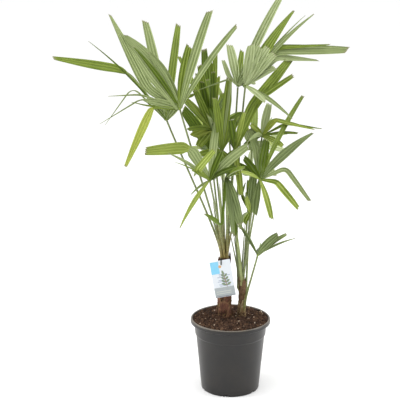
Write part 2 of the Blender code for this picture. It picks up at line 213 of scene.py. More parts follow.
# %% Mesh helpers
class Mass:
    """Gathers points, faces, finishes and the two maps until they become one mesh."""

    def __init__(self):
        self.points = []
        self.faces = []
        self.skins = []
        self.metres = []
        self.shares = []

    def point(self, place, metres=(0.0, 0.0), share=(0.0, 0.0)):
        self.points.append(tuple(place))
        self.metres.append(metres)
        self.shares.append(share)
        return len(self.points) - 1

    def face(self, indices, skin=0):
        self.faces.append(indices)
        self.skins.append(skin)


def lay_map(mesh, name, values, loops):
    layer = mesh.uv_layers.new(name=name)
    layer.data.foreach_set("uv", [number for index in loops for number in values[index]])


def make_piece(name, mass, materials, nodes=(), sharp_degrees=40):
    """Turns a mass into a piece that rides with the plant and stands for CAD nodes."""
    mesh = bpy.data.meshes.new(name)
    mesh.from_pydata(mass.points, [], mass.faces)
    for material in materials:
        mesh.materials.append(material)
    mesh.polygons.foreach_set("material_index", mass.skins)
    loops = [index for face in mass.faces for index in face]
    lay_map(mesh, "SizeMap", mass.metres, loops)
    lay_map(mesh, "ShareMap", mass.shares, loops)
    mesh.shade_smooth()
    mesh.set_sharp_from_angle(angle=math.radians(sharp_degrees))
    piece = bpy.data.objects.new(name, mesh)
    bpy.context.scene.collection.objects.link(piece)
    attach(piece, "root")
    if nodes:
        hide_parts(*nodes)
    return piece


def add_tube(mass, rings, skin=0, step=0.0, begin=0.0):
    """Skins equal rings of points and closes both ends."""
    count = len(rings[0])
    loops = []
    for row, ring in enumerate(rings):
        share = row / (len(rings) - 1)
        loops.append([
            mass.point(place, (0.0, begin + row * step), (column / count, share))
            for column, place in enumerate(ring)
        ])
    for low, high in zip(loops, loops[1:]):
        for i in range(count):
            j = (i + 1) % count
            mass.face((low[i], low[j], high[j], high[i]), skin)
    mass.face(tuple(reversed(loops[0])), skin)
    mass.face(tuple(loops[-1]), skin)


def add_sheet(mass, rows, front_skins, back_skins):
    """Closes rows of (front, back, metres, share) into a thin solid with a skin for each row."""
    pairs = [
        [[mass.point(place, metres, share) for place in both] for *both, metres, share in row]
        for row in rows
    ]
    front, back = [[[pair[side] for pair in row] for row in pairs] for side in (0, 1)]
    columns = range(len(front[0]) - 1)
    for i, (skin, back_skin) in enumerate(zip(front_skins, back_skins)):
        for j in columns:
            mass.face((front[i][j], front[i][j + 1], front[i + 1][j + 1], front[i + 1][j]), skin)
            mass.face((back[i][j], back[i + 1][j], back[i + 1][j + 1], back[i][j + 1]), back_skin)
        mass.face((front[i][0], front[i + 1][0], back[i + 1][0], back[i][0]), skin)
        mass.face((front[i][-1], back[i][-1], back[i + 1][-1], front[i + 1][-1]), skin)
    for j in columns:
        mass.face((front[0][j], back[0][j], back[0][j + 1], front[0][j + 1]), front_skins[-1])
        mass.face((front[-1][j], front[-1][j + 1], back[-1][j + 1], back[-1][j]), front_skins[-1])


def ring_about(centre, along, radius, sides, flat=1.0):
    """A ring of points square to a direction; flat squeezes it one way."""
    across = along.cross(Vector((0, 1, 0))).normalized()
    other = along.cross(across)
    angles = [math.tau * i / sides for i in range(sides)]
    return [centre + radius * (math.cos(a) * across + flat * math.sin(a) * other) for a in angles]


def follow(centres, index):
    """Direction of a line of points at one of them."""
    before = centres[max(index - 1, 0)]
    after = centres[min(index + 1, len(centres) - 1)]
    return (after - before).normalized()


def add_strand(mass, centres, radius, sides=4, skin=0):
    """A thin thread that narrows towards its end."""
    last = len(centres) - 1
    rings = []
    for index, centre in enumerate(centres):
        thin = radius * (1 - 0.7 * index / last)
        rings.append(ring_about(centre, follow(centres, index), thin, sides))
    add_tube(mass, rings, skin)


def add_lathe(mass, profile, sides):
    """Turns a closed profile of (radius, height) that starts and ends on the axis."""
    first = mass.point((0, 0, profile[0][1]))
    last = mass.point((0, 0, profile[-1][1]))
    angles = [math.tau * i / sides for i in range(sides)]
    loops = [
        [mass.point((radius * math.cos(a), radius * math.sin(a), height)) for a in angles]
        for radius, height in profile[1:-1]
    ]
    for i in range(sides):
        j = (i + 1) % sides
        mass.face((first, loops[0][j], loops[0][i]))
        mass.face((loops[-1][i], loops[-1][j], last))
        for low, high in zip(loops, loops[1:]):
            mass.face((low[i], low[j], high[j], high[i]))


print("helpers ready")

# %% [markdown]
# The pot is a standard 19 cm nursery pot.
#
# Such pots are injection moulded from recycled polypropylene, so the wall is thin, every
# corner has a small radius, the rim is turned over, and a collar above the sloping side
# lets the pots nest. Notches round the foot let water out. A profile turned about the
# axis gives all of that. The profile is that of the solid, with its corners rounded.

# %% Pot shape
POT_HEIGHT = 175 * MM
RIM_RADIUS = 95 * MM
RIM_FOOT = 161 * MM
RIM_MOUTH = 89.5 * MM
COLLAR_TOP_RADIUS = 86 * MM
COLLAR_FOOT_RADIUS = 84 * MM
COLLAR_FOOT = 137 * MM
SHOULDER_RADIUS = 81.8 * MM
SHOULDER = 134.5 * MM
FOOT_RINGS = (6 * MM, 12 * MM, 40 * MM, 90 * MM)
BASE_RADIUS = 69 * MM
BASE_THICKNESS = 5 * MM
WALL = 1.8 * MM
POT_SIDES = 160
CORNER_STEPS = 5
NOTCHES = 6
NOTCH_START = 0.35
NOTCH_ROUNDING = 1.5 * MM
NOTCHED_SHARP = 40
NOTCH = Vector((14 * MM, 11 * MM, 8.4 * MM))


def side_radius(height):
    """Outer radius of the sloping side below the collar."""
    return BASE_RADIUS + (SHOULDER_RADIUS - BASE_RADIUS) * height / SHOULDER


def rounded(corners):
    """Rounds each inner corner of a list of (radius, height, rounding)."""
    places = [Vector((radius, height)) for radius, height, _ in corners]
    profile = [tuple(places[0])]
    for index in range(1, len(corners) - 1):
        before, corner, after = places[index - 1:index + 2]
        rounding = corners[index][2]
        enter = corner + (before - corner).normalized() * min(rounding, (before - corner).length * 0.45)
        leave = corner + (after - corner).normalized() * min(rounding, (after - corner).length * 0.45)
        for step in range(CORNER_STEPS):
            t = step / (CORNER_STEPS - 1)
            profile.append(tuple(enter.lerp(corner, t).lerp(corner.lerp(leave, t), t)))
    return profile + [tuple(places[-1])]


POT_CORNERS = (
    (0, 0, 0),
    (BASE_RADIUS, 0, 2 * MM),
    *((side_radius(height), height, 0.2 * MM) for height in FOOT_RINGS),
    (side_radius(SHOULDER), SHOULDER, 1.5 * MM),
    (COLLAR_FOOT_RADIUS, COLLAR_FOOT, 1.5 * MM),
    (COLLAR_TOP_RADIUS, RIM_FOOT, 1.0 * MM),
    (RIM_RADIUS - 3.0 * MM, RIM_FOOT + 2.5 * MM, 1.5 * MM),
    (RIM_RADIUS, RIM_FOOT + 4.5 * MM, 1.2 * MM),
    (RIM_RADIUS - 0.3 * MM, POT_HEIGHT - 2.2 * MM, 0.8 * MM),
    (RIM_RADIUS - 2.6 * MM, POT_HEIGHT, 0.9 * MM),
    (RIM_RADIUS - 4.2 * MM, POT_HEIGHT - 0.6 * MM, 0.8 * MM),
    (RIM_MOUTH + 0.3 * MM, POT_HEIGHT - 2.6 * MM, 0.8 * MM),
    (RIM_MOUTH, RIM_FOOT + 4 * MM, 1.0 * MM),
    (COLLAR_TOP_RADIUS - WALL, RIM_FOOT + 1 * MM, 2 * MM),
    (COLLAR_FOOT_RADIUS - WALL, COLLAR_FOOT + WALL, 1 * MM),
    (side_radius(SHOULDER) - WALL, SHOULDER + WALL, 1 * MM),
    (side_radius(BASE_THICKNESS) - WALL, BASE_THICKNESS, 1 * MM),
    (0, BASE_THICKNESS, 0),
)
pot_mass = Mass()
add_lathe(pot_mass, rounded(POT_CORNERS), POT_SIDES)
print("pot faces", len(pot_mass.faces))

# %% [markdown]
# The pot's finish is moulded polypropylene with carbon black.
#
# Its mould was lightly sandblasted, so the plastic is satin: broad soft highlights and
# pale, bright edges where the wall turns away from the eye. Polypropylene's IOR is
# 1.49. Recycled stock gives faint warm clouds in the colour, and handling leaves the
# roughness a little uneven. The top few millimetres of the rim are painted pale in
# patches a few millimetres deep: partly scuffs from handling, partly a painted highlight
# where the crest catches the light. The blasted grain is about 0.3 mm, too fine for a
# picture of the whole plant, and is drawn at 1.2 mm.

# %% Pot finish
PLASTIC_IOR = 1.49
GRAIN_SIZE = 1.2 * MM
CLOUD_SIZE = 45 * MM
RIM_HIGHLIGHT_AND_SCUFF_DEPTH = 3 * MM
DUSTY_GLOSS = 0.48

pot_plastic, tree, shader = start_material("moulded_recycled_polypropylene", 0.36, PLASTIC_IOR, DUSTY_GLOSS)
place = add(tree, "TexCoord")["Object"]
clouds = add(tree, "TexNoise", {"Vector": place, "Scale": 1 / CLOUD_SIZE, "Detail": 3.0})["Fac"]
grain = add(tree, "TexNoise", {"Vector": place, "Scale": 1 / GRAIN_SIZE, "Detail": 2.0})["Fac"]
cloudy = add(tree, "MapRange", {"Value": clouds, "From Min": 0.35, "From Max": 0.65})["Result"]
body = add(tree, "Mix", {0: cloudy, 6: "#131110", 7: "#1d1915"}, data_type="RGBA")[2]
worn = add(tree, "MapRange", {"Value": clouds, "To Min": 0.30, "To Max": 0.44})["Result"]
bump = add(tree, "Bump", {"Height": grain, "Strength": 0.25, "Distance": 0.15 * MM})["Normal"]
height = add(tree, "SeparateXYZ", {0: place})["Z"]
# Painted highlight and scuffs: the rim's top few millimetres turn pale in patches.
highlight_and_scuff = add(tree, "Math", {0: clouds, 1: RIM_HIGHLIGHT_AND_SCUFF_DEPTH, 2: height}, operation="MULTIPLY_ADD")[0]
highlight_and_scuff_low, highlight_and_scuff_high = POT_HEIGHT - RIM_HIGHLIGHT_AND_SCUFF_DEPTH * 0.5, POT_HEIGHT + RIM_HIGHLIGHT_AND_SCUFF_DEPTH * 0.4
painted_highlight_and_scuff = add(tree, "MapRange", {"Value": highlight_and_scuff, "From Min": highlight_and_scuff_low, "From Max": highlight_and_scuff_high})["Result"]
tone = add(tree, "Mix", {0: painted_highlight_and_scuff, 6: body, 7: "#736b60"}, data_type="RGBA")[2]
coat(shader, tone, bump)
tree.links.new(worn, shader.inputs["Roughness"])
print("pot finish", pot_plastic.name)

# %% Pot piece and its notches
pot = make_piece("pot_shell", pot_mass, [pot_plastic], ["pot"], 50)
cutters = []
for index in range(NOTCHES):
    cutter_mesh = bmesh.new()
    bmesh.ops.create_cube(cutter_mesh, size=1.0)
    bmesh.ops.scale(cutter_mesh, vec=NOTCH, verts=cutter_mesh.verts)
    upright = [e for e in cutter_mesh.edges if abs(e.verts[0].co.x - e.verts[1].co.x) > NOTCH.x / 2]
    bmesh.ops.bevel(cutter_mesh, geom=upright, offset=NOTCH_ROUNDING, segments=3, affect="EDGES")
    turn = Matrix.Rotation(math.tau * (index + NOTCH_START) / NOTCHES, 4, "Z")
    cutter_mesh.transform(turn @ Matrix.Translation((BASE_RADIUS, 0, 0)))
    solid = bpy.data.meshes.new(f"notch_cutter_{index + 1}")
    cutter_mesh.to_mesh(solid)
    cutter_mesh.free()
    cutter = bpy.data.objects.new(solid.name, solid)
    bpy.context.scene.collection.objects.link(cutter)
    cut = pot.modifiers.new(cutter.name, "BOOLEAN")
    cut.object = cutter
    cut.operation = "DIFFERENCE"
    cutters.append(cutter)
graph = bpy.context.evaluated_depsgraph_get()
notched = bpy.data.meshes.new_from_object(pot.evaluated_get(graph))
pot.modifiers.clear()
notched.set_sharp_from_angle(angle=math.radians(NOTCHED_SHARP))
pot.data = notched
for cutter in cutters:
    bpy.data.objects.remove(cutter)
print("pot with notches", len(pot.data.polygons), "faces")

# %% [markdown]
# The peat is a bed of dark crumbs.
#
# Potting peat settles into an uneven surface, a little heaped round each stem, with
# crumbs of 1 to 6 mm lying loose on it, short root and bark fibres, and a few pale
# chips. The bed is a closed body whose top is moved by noise. The crumbs are many small
# bent lumps in one joined mesh: that gives real edges and shadows, which bump alone
# can't.

# %% Peat shapes
SOIL_TOP = 167.5 * MM
SOIL_RISE = 4.4 * MM
SOIL_WAVE = 2.2 * MM
BED_DEPTH = 40 * MM
BED_RADIUS = RIM_MOUTH - 0.3 * MM
BED_RINGS = 34
BED_SIDES = 110
CRUMBS = 3400
FIBRES = 260
FIBRE_STEPS = 5
CHIPS = 30
HEAP_REACH = 8 * MM
HEAPS = (
    (Vector((-22 * MM, 14 * MM, 0)), 14 * MM, 6 * MM),
    (Vector((27 * MM, 12 * MM, 0)), 9 * MM, 3 * MM),
)


def bed_height(x, y):
    """Height of the peat's uneven surface, which is heaped up round the stems."""
    spot = Vector((x, y, 0))
    waves = noise.noise(spot / (26 * MM)) + 0.45 * noise.noise(spot / (8 * MM))
    heap = 0.0
    for centre, radius, rise in HEAPS:
        away = max(0.0, (spot - centre).length - radius)
        heap = max(heap, rise * math.exp(-(away / HEAP_REACH) ** 2))
    return SOIL_TOP + SOIL_RISE + heap + SOIL_WAVE * waves


def lump_corners():
    """The twelve corners and twenty faces of a regular lump of radius 1."""
    lump = bmesh.new()
    bmesh.ops.create_icosphere(lump, subdivisions=1, radius=1.0)
    corners = [vert.co.copy() for vert in lump.verts]
    faces = [tuple(vert.index for vert in face.verts) for face in lump.faces]
    lump.free()
    return corners, faces


LUMP_CORNERS, LUMP_FACES = lump_corners()


def add_lump(mass, centre, size, rng, skin=0):
    """A crumb: a lump squeezed, turned and dented at random, with a share of its own."""
    turn = Matrix.Rotation(rng.uniform(0, math.tau), 3, Vector([rng.uniform(-1, 1) for _ in range(3)]))
    first = len(mass.points)
    tint = rng.random()
    for corner in LUMP_CORNERS:
        dented = corner * rng.uniform(0.72, 1.15)
        stretched = Vector((dented.x * size.x, dented.y * size.y, dented.z * size.z))
        mass.point(centre + turn @ stretched, share=(tint, tint))
    for face in LUMP_FACES:
        mass.face(tuple(first + index for index in face), skin)


def spot_on_bed(rng):
    """A random place on the peat, even over its area."""
    radius = (BED_RADIUS - 2.5 * MM) * math.sqrt(rng.random())
    angle = rng.uniform(0, math.tau)
    return Vector((radius * math.cos(angle), radius * math.sin(angle), 0))


bed = Mass()
bed_profile = [(0, SOIL_TOP - BED_DEPTH), (COLLAR_FOOT_RADIUS - 4 * MM, SOIL_TOP - BED_DEPTH)]
bed_profile += [(COLLAR_TOP_RADIUS - WALL - 0.4 * MM, RIM_FOOT + 0.5 * MM), (BED_RADIUS, RIM_FOOT + 5 * MM)]
bed_profile += [(BED_RADIUS * (1 - ring / BED_RINGS), SOIL_TOP) for ring in range(BED_RINGS)]
bed_profile += [(0, SOIL_TOP)]
add_lathe(bed, bed_profile, BED_SIDES)
bed.points = [(x, y, bed_height(x, y) if z > SOIL_TOP - 1 * MM else z) for x, y, z in bed.points]
print("bed", len(bed.faces), "faces")

# %% Crumbs, fibres and chips
rng = random.Random(11)
crumbs = Mass()
for _ in range(CRUMBS):
    spot = spot_on_bed(rng)
    grade = rng.random() ** 2.4
    size = (0.9 + 2.3 * grade) * MM
    spot.z = bed_height(spot.x, spot.y) + size * rng.uniform(0.0, 0.7)
    shape = Vector([size * rng.uniform(0.7, 1.3) for _ in range(3)])
    add_lump(crumbs, spot, shape, rng)
for _ in range(FIBRES):
    spot = spot_on_bed(rng)
    heading = rng.uniform(0, math.tau)
    reach = rng.uniform(5, 16) * MM
    line = []
    for _ in range(FIBRE_STEPS):
        heading += rng.uniform(-0.5, 0.5)
        spot = spot + Vector((math.cos(heading), math.sin(heading), 0)) * reach / FIBRE_STEPS
        if spot.length > BED_RADIUS - 2 * MM:
            break
        line.append(Vector((spot.x, spot.y, bed_height(spot.x, spot.y) + rng.uniform(1.0, 2.6) * MM)))
    if len(line) > 2:
        add_strand(crumbs, line, rng.uniform(0.25, 0.5) * MM)


chips = Mass()
for _ in range(CHIPS):
    spot = spot_on_bed(rng)
    spot.z = bed_height(spot.x, spot.y) + 1.8 * MM
    size = rng.uniform(1.2, 2.4) * MM
    add_lump(chips, spot, Vector((size * rng.uniform(1.2, 2.6), size, size * 0.5)), rng)
print("crumbs", CRUMBS, "chips", CHIPS)

# %% [markdown]
# Peat is matt: it is dry, open and fibrous, and it swallows light.
#
# So its roughness is near 1 and its colour varies a lot from crumb to crumb, between a
# reddish brown and nearly black. Each crumb carries its own random share in the share
# map, and a noise adds damp and dry patches of about 12 mm. The chips are pale bark
# and sand-coloured wood.

# %% Peat finish
PEAT_IOR = 1.4
DAMP_SIZE = 12 * MM
CRUMB_GRAIN = 1.5 * MM


def peat_finish(name, dark, mid, light):
    """Matt crumbs whose tone is dealt from dark to light by each crumb's own share."""
    material, tree, shader = start_material(name, 0.95, PEAT_IOR)
    place = add(tree, "TexCoord")["Object"]
    tint = add(tree, "SeparateXYZ", {0: add(tree, "UVMap", uv_map="ShareMap")["UV"]})["X"]
    damp = add(tree, "TexNoise", {"Vector": place, "Scale": 1 / DAMP_SIZE, "Detail": 4.0})["Fac"]
    grain = add(tree, "TexNoise", {"Vector": place, "Scale": 1 / CRUMB_GRAIN, "Detail": 3.0})["Fac"]
    wet = add(tree, "MapRange", {"Value": damp, "From Min": 0.35, "From Max": 0.65})["Result"]
    body = add(tree, "Mix", {0: wet, 6: dark, 7: mid}, data_type="RGBA")[2]
    pick = add(tree, "MapRange", {"Value": tint, "From Min": 0.45, "From Max": 1.0, "To Max": 0.8})["Result"]
    tone = add(tree, "Mix", {0: pick, 6: body, 7: light}, data_type="RGBA")[2]
    coat(shader, tone, add(tree, "Bump", {"Height": grain, "Strength": 0.6, "Distance": 0.4 * MM})["Normal"])
    return material


moist_peat = peat_finish("moist_fibrous_peat", "#2c1c12", "#4b3426", "#745842")
bark_chip = peat_finish("pale_bark_chips", "#a88f76", "#c9b3a0", "#dccab4")
make_piece("peat_bed", bed, [moist_peat], ["soil"])
make_piece("peat_crumbs", crumbs, [moist_peat], sharp_degrees=30)
make_piece("peat_chips", chips, [bark_chip], sharp_degrees=30)
print("peat finishes", moist_peat.name, bark_chip.name)

# %% [markdown]
# Two short stems carry the crown.
#
# A palm's stem has no bark of its own. What shows is the net of brown fibre and the torn
# sheaths that old leaves leave behind, wrapped over one another from the bottom up. The
# lower ones have weathered to straw, and the last few clasp the stalks at the top. The
# stem's core is a fine tapered tube with fibre relief. The sheaths are curved flaps over
# it. A few hundred loose strands break the outline, and as many short fibres lie across
# one another round the foot.

# %% Stem rule
MAIN_FOOT = Vector((-14 * MM, 16 * MM, SOIL_TOP + 0.3 * MM))
MAIN_TOP = Vector((-15 * MM, 6 * MM, 323 * MM))
SIDE_FOOT = Vector((27 * MM, 12 * MM, SOIL_TOP + 0.3 * MM))
SIDE_TOP = Vector((27.5 * MM, 6 * MM, 259 * MM))
MAIN_STEM = (MAIN_FOOT, MAIN_TOP, (20.5 * MM, 15.5 * MM, 12.6 * MM))
SIDE_STEM = (SIDE_FOOT, SIDE_TOP, (10.5 * MM, 8 * MM, 6.6 * MM))
FLARE_TOP = 0.3
STEM_SIDES = 72
STEM_RINGS = 80
SUNK = 5 * MM
NEXT_LEAF = math.radians(137)
TOP_SHEATHS = 6
TOP_SHEATH_START = 0.78
WEATHERED = 0.6
SHEATH_ROWS = 10
SHEATH_COLUMNS = 12
SHEATH_THICKNESS = 0.6 * MM


def stem_radius(radii, share):
    """Flares quickly at the root, then tapers evenly to the top."""
    foot, waist, top = radii
    if share >= FLARE_TOP:
        return waist + (top - waist) * (share - FLARE_TOP) / (1 - FLARE_TOP)
    return foot + (waist - foot) * math.sin(share / FLARE_TOP * math.pi / 2)


def stem_point(stem, share, angle, lift):
    """A point on a stem, lift above its rule's surface."""
    foot, top, radii = stem
    reach = stem_radius(radii, max(share, 0.0)) + lift
    return foot.lerp(top, share) + reach * Vector((math.cos(angle), math.sin(angle), 0))


def add_core(mass, stem, fibre):
    """The stem's body, with upright fibre ridges and faint rings of old leaves."""
    foot, top, _ = stem
    height = top.z - foot.z
    rings = []
    for row in range(STEM_RINGS + 1):
        share = -SUNK / height + (1 + SUNK / height) * row / STEM_RINGS
        z = foot.z + height * share
        ring = []
        for column in range(STEM_SIDES):
            angle = math.tau * column / STEM_SIDES
            spot = Vector((9 * math.cos(angle), 9 * math.sin(angle), z / (30 * MM)))
            fine = Vector((26 * math.cos(angle), 26 * math.sin(angle), z / (22 * MM)))
            lift = -1.3 * MM + 1.0 * MM * noise.noise(spot * 0.35) + fibre * noise.noise(fine * 0.35)
            lift += 0.5 * MM * math.sin(z / (13 * MM) * math.tau + 2 * noise.noise(spot * 0.1))
            ring.append(stem_point(stem, share, angle, lift))
        rings.append(ring)
    add_tube(mass, rings)


def add_sheath(mass, stem, angle, start, height, spread, rng, off=0.2 * MM, skin=1):
    """A torn sheath: a thin curved flap that hugs the stem and stands off at its top."""
    columns = range(SHEATH_COLUMNS + 1)
    torn = [1 - rng.uniform(0.0, 0.22) - 0.5 * abs(c / SHEATH_COLUMNS - 0.5) for c in columns]
    stand = rng.uniform(0.8, 2.6) * MM * (0.35 + 0.65 * start)
    rows = []
    for row in range(SHEATH_ROWS + 1):
        t = row / SHEATH_ROWS
        rows.append([])
        for column in columns:
            across = column / SHEATH_COLUMNS
            rise = start + height * t * torn[column]
            turn = angle + spread * (across - 0.5) * (1 - 0.35 * t)
            lift = off + stand * t ** 2 + 0.35 * MM * noise.noise(Vector((across * 9, t * 2, angle * 5)))
            lift += 8 * MM * max(0.0, rise - 1) - 2.2 * MM * (1 - t) ** 6
            outer = stem_point(stem, rise, turn, lift + SHEATH_THICKNESS)
            inner = stem_point(stem, rise, turn, lift)
            rows[-1].append((outer, inner, (across * 0.02, rise * 0.15), (across, t)))
    add_sheet(mass, rows, [skin] * SHEATH_ROWS, [skin] * SHEATH_ROWS)


def add_fibre(mass, stem, rng, length):
    """A loose strand that climbs the stem and may stand away at its end."""
    angle = rng.uniform(0, math.tau)
    start = rng.uniform(0.0, 0.85)
    slant = rng.uniform(-0.5, 0.5)
    loose = rng.uniform(0.2, 3.0) * MM if rng.random() < 0.4 else 0.3 * MM
    line = []
    for step in range(6):
        t = step / 5
        share = min(start + length * t, 1.02)
        lift = 0.2 * MM + loose * t ** 2
        line.append(stem_point(stem, share, angle + slant * t, lift))
    add_strand(mass, line, rng.uniform(0.2, 0.45) * MM, skin=rng.choice((0, 0, 2)))


def add_mat(mass, stem, rng):
    """One of the short fibres that lie any way round the foot and make it fuzzy."""
    angle, share = rng.uniform(0, math.tau), 0.45 * rng.random() ** 1.3
    slant, climb = rng.uniform(-0.6, 0.6), rng.uniform(-0.08, 0.08)
    loose = rng.uniform(0.4, 3.2) * MM
    line = []
    for step in range(5):
        t = step / 4
        lift = 0.1 * MM + loose * math.sin(math.pi * t)
        line.append(stem_point(stem, share + climb * t, angle + slant * t, lift))
    add_strand(mass, line, rng.uniform(0.3, 0.6) * MM, skin=rng.choice((0, 1, 1, 2)))


def make_stem(name, stem, node, skins, sheaths, strands, seed, clasp, reach):
    """Core, sheaths, clasping top sheaths, strands and foot fibres of one stem, joined."""
    rng = random.Random(seed)
    mass = Mass()
    add_core(mass, stem, 0.7 * MM)
    for index in range(sheaths):
        start = 0.02 + 0.74 * index / sheaths
        angle = index * NEXT_LEAF + rng.uniform(-0.3, 0.3)
        skin = 1 if index < sheaths * WEATHERED else 0
        height, spread = rng.uniform(0.2, 0.3), rng.uniform(2.0, 3.0)
        add_sheath(mass, stem, angle, start, height, spread, rng, skin=skin)
    for index in range(TOP_SHEATHS):
        angle = index * NEXT_LEAF + 0.4
        height, spread = rng.uniform(0.7, 1) * reach, rng.uniform(1.6, 2.2)
        add_sheath(mass, stem, angle, TOP_SHEATH_START, height, spread, rng, clasp, 0)
    for _ in range(strands):
        add_fibre(mass, stem, rng, rng.uniform(0.08, 0.3))
    for _ in range(strands):
        add_mat(mass, stem, rng)
    make_piece(name, mass, skins, [node], 55)
    print(name, len(mass.faces), "faces")

# %% [markdown]
# The stem's finish is dry plant fibre.
#
# It is matt, with a little gloss on the smooth sheaths. The fibres are about 0.3 mm
# thick, too fine to show, so the streaks are drawn 1 mm wide and 25 mm long. They run
# up the stem, so the noise is squeezed around it and stretched along it. The main
# stem's sheaths are reddish brown and the side stem's are straw, and both are paler at
# their torn edges.

# %% Stem finishes
FIBRE_IOR = 1.45
STREAK_WIDTH = 1.0 * MM
STREAK_LENGTH = 25 * MM


def fibre_finish(name, dark, mid, edge, roughness):
    """Dry fibre with streaks along the stem, and a paler torn edge."""
    material, tree, shader = start_material(name, roughness, FIBRE_IOR)
    place = add(tree, "TexCoord")["Object"]
    squeeze = (1 / STREAK_WIDTH, 1 / STREAK_WIDTH, 1 / STREAK_LENGTH)
    drawn = add(tree, "Mapping", {"Vector": place, "Scale": squeeze})["Vector"]
    streaks = add(tree, "TexNoise", {"Vector": drawn, "Scale": 1.0, "Detail": 3.0})["Fac"]
    sharp = add(tree, "MapRange", {"Value": streaks, "From Min": 0.36, "From Max": 0.64})["Result"]
    body = add(tree, "Mix", {0: sharp, 6: dark, 7: mid}, data_type="RGBA")[2]
    share = add(tree, "SeparateXYZ", {0: add(tree, "UVMap", uv_map="ShareMap")["UV"]})
    aside = add(tree, "Math", {0: share["X"], 1: 0.5}, operation="SUBTRACT")[0]
    apart = add(tree, "Math", {0: aside}, operation="ABSOLUTE")[0]
    rim = add(tree, "MapRange", {"Value": apart, "From Min": 0.36, "From Max": 0.5})["Result"]
    top = add(tree, "MapRange", {"Value": share["Y"], "From Min": 0.8, "From Max": 1.0})["Result"]
    torn = add(tree, "Math", {0: rim, 1: top}, operation="MAXIMUM")[0]
    tone = add(tree, "Mix", {0: torn, 6: body, 7: edge}, data_type="RGBA")[2]
    bump = add(tree, "Bump", {"Height": streaks, "Strength": 0.7, "Distance": 0.5 * MM})["Normal"]
    coat(shader, tone, bump)
    return material


fibre_brown = fibre_finish("dry_brown_fibre", "#2e1a11", "#553626", "#553626", 0.9)
sheath_brown = fibre_finish("dry_leaf_sheath", "#4c2c20", "#80543f", "#8b6a4a", 0.8)
sheath_straw = fibre_finish("straw_leaf_sheath", "#71593a", "#a98f66", "#c9b98f", 0.8)
fibre_straw = fibre_finish("straw_fibre", "#6b5230", "#97804e", "#a08a58", 0.85)
fibre_tan = fibre_finish("dry_tan_fibre", "#4a3424", "#7c6046", "#7c6046", 0.9)
main_skins = (fibre_brown, sheath_brown, fibre_straw)
side_skins = (fibre_tan, sheath_straw, fibre_straw)
make_stem("main_stem_fibre", MAIN_STEM, "trunk_main", main_skins, 16, 420, 21, 0.3 * MM, 0.32)
make_stem("side_stem_fibre", SIDE_STEM, "stem_side", side_skins, 11, 220, 22, 1.2 * MM, 0.48)
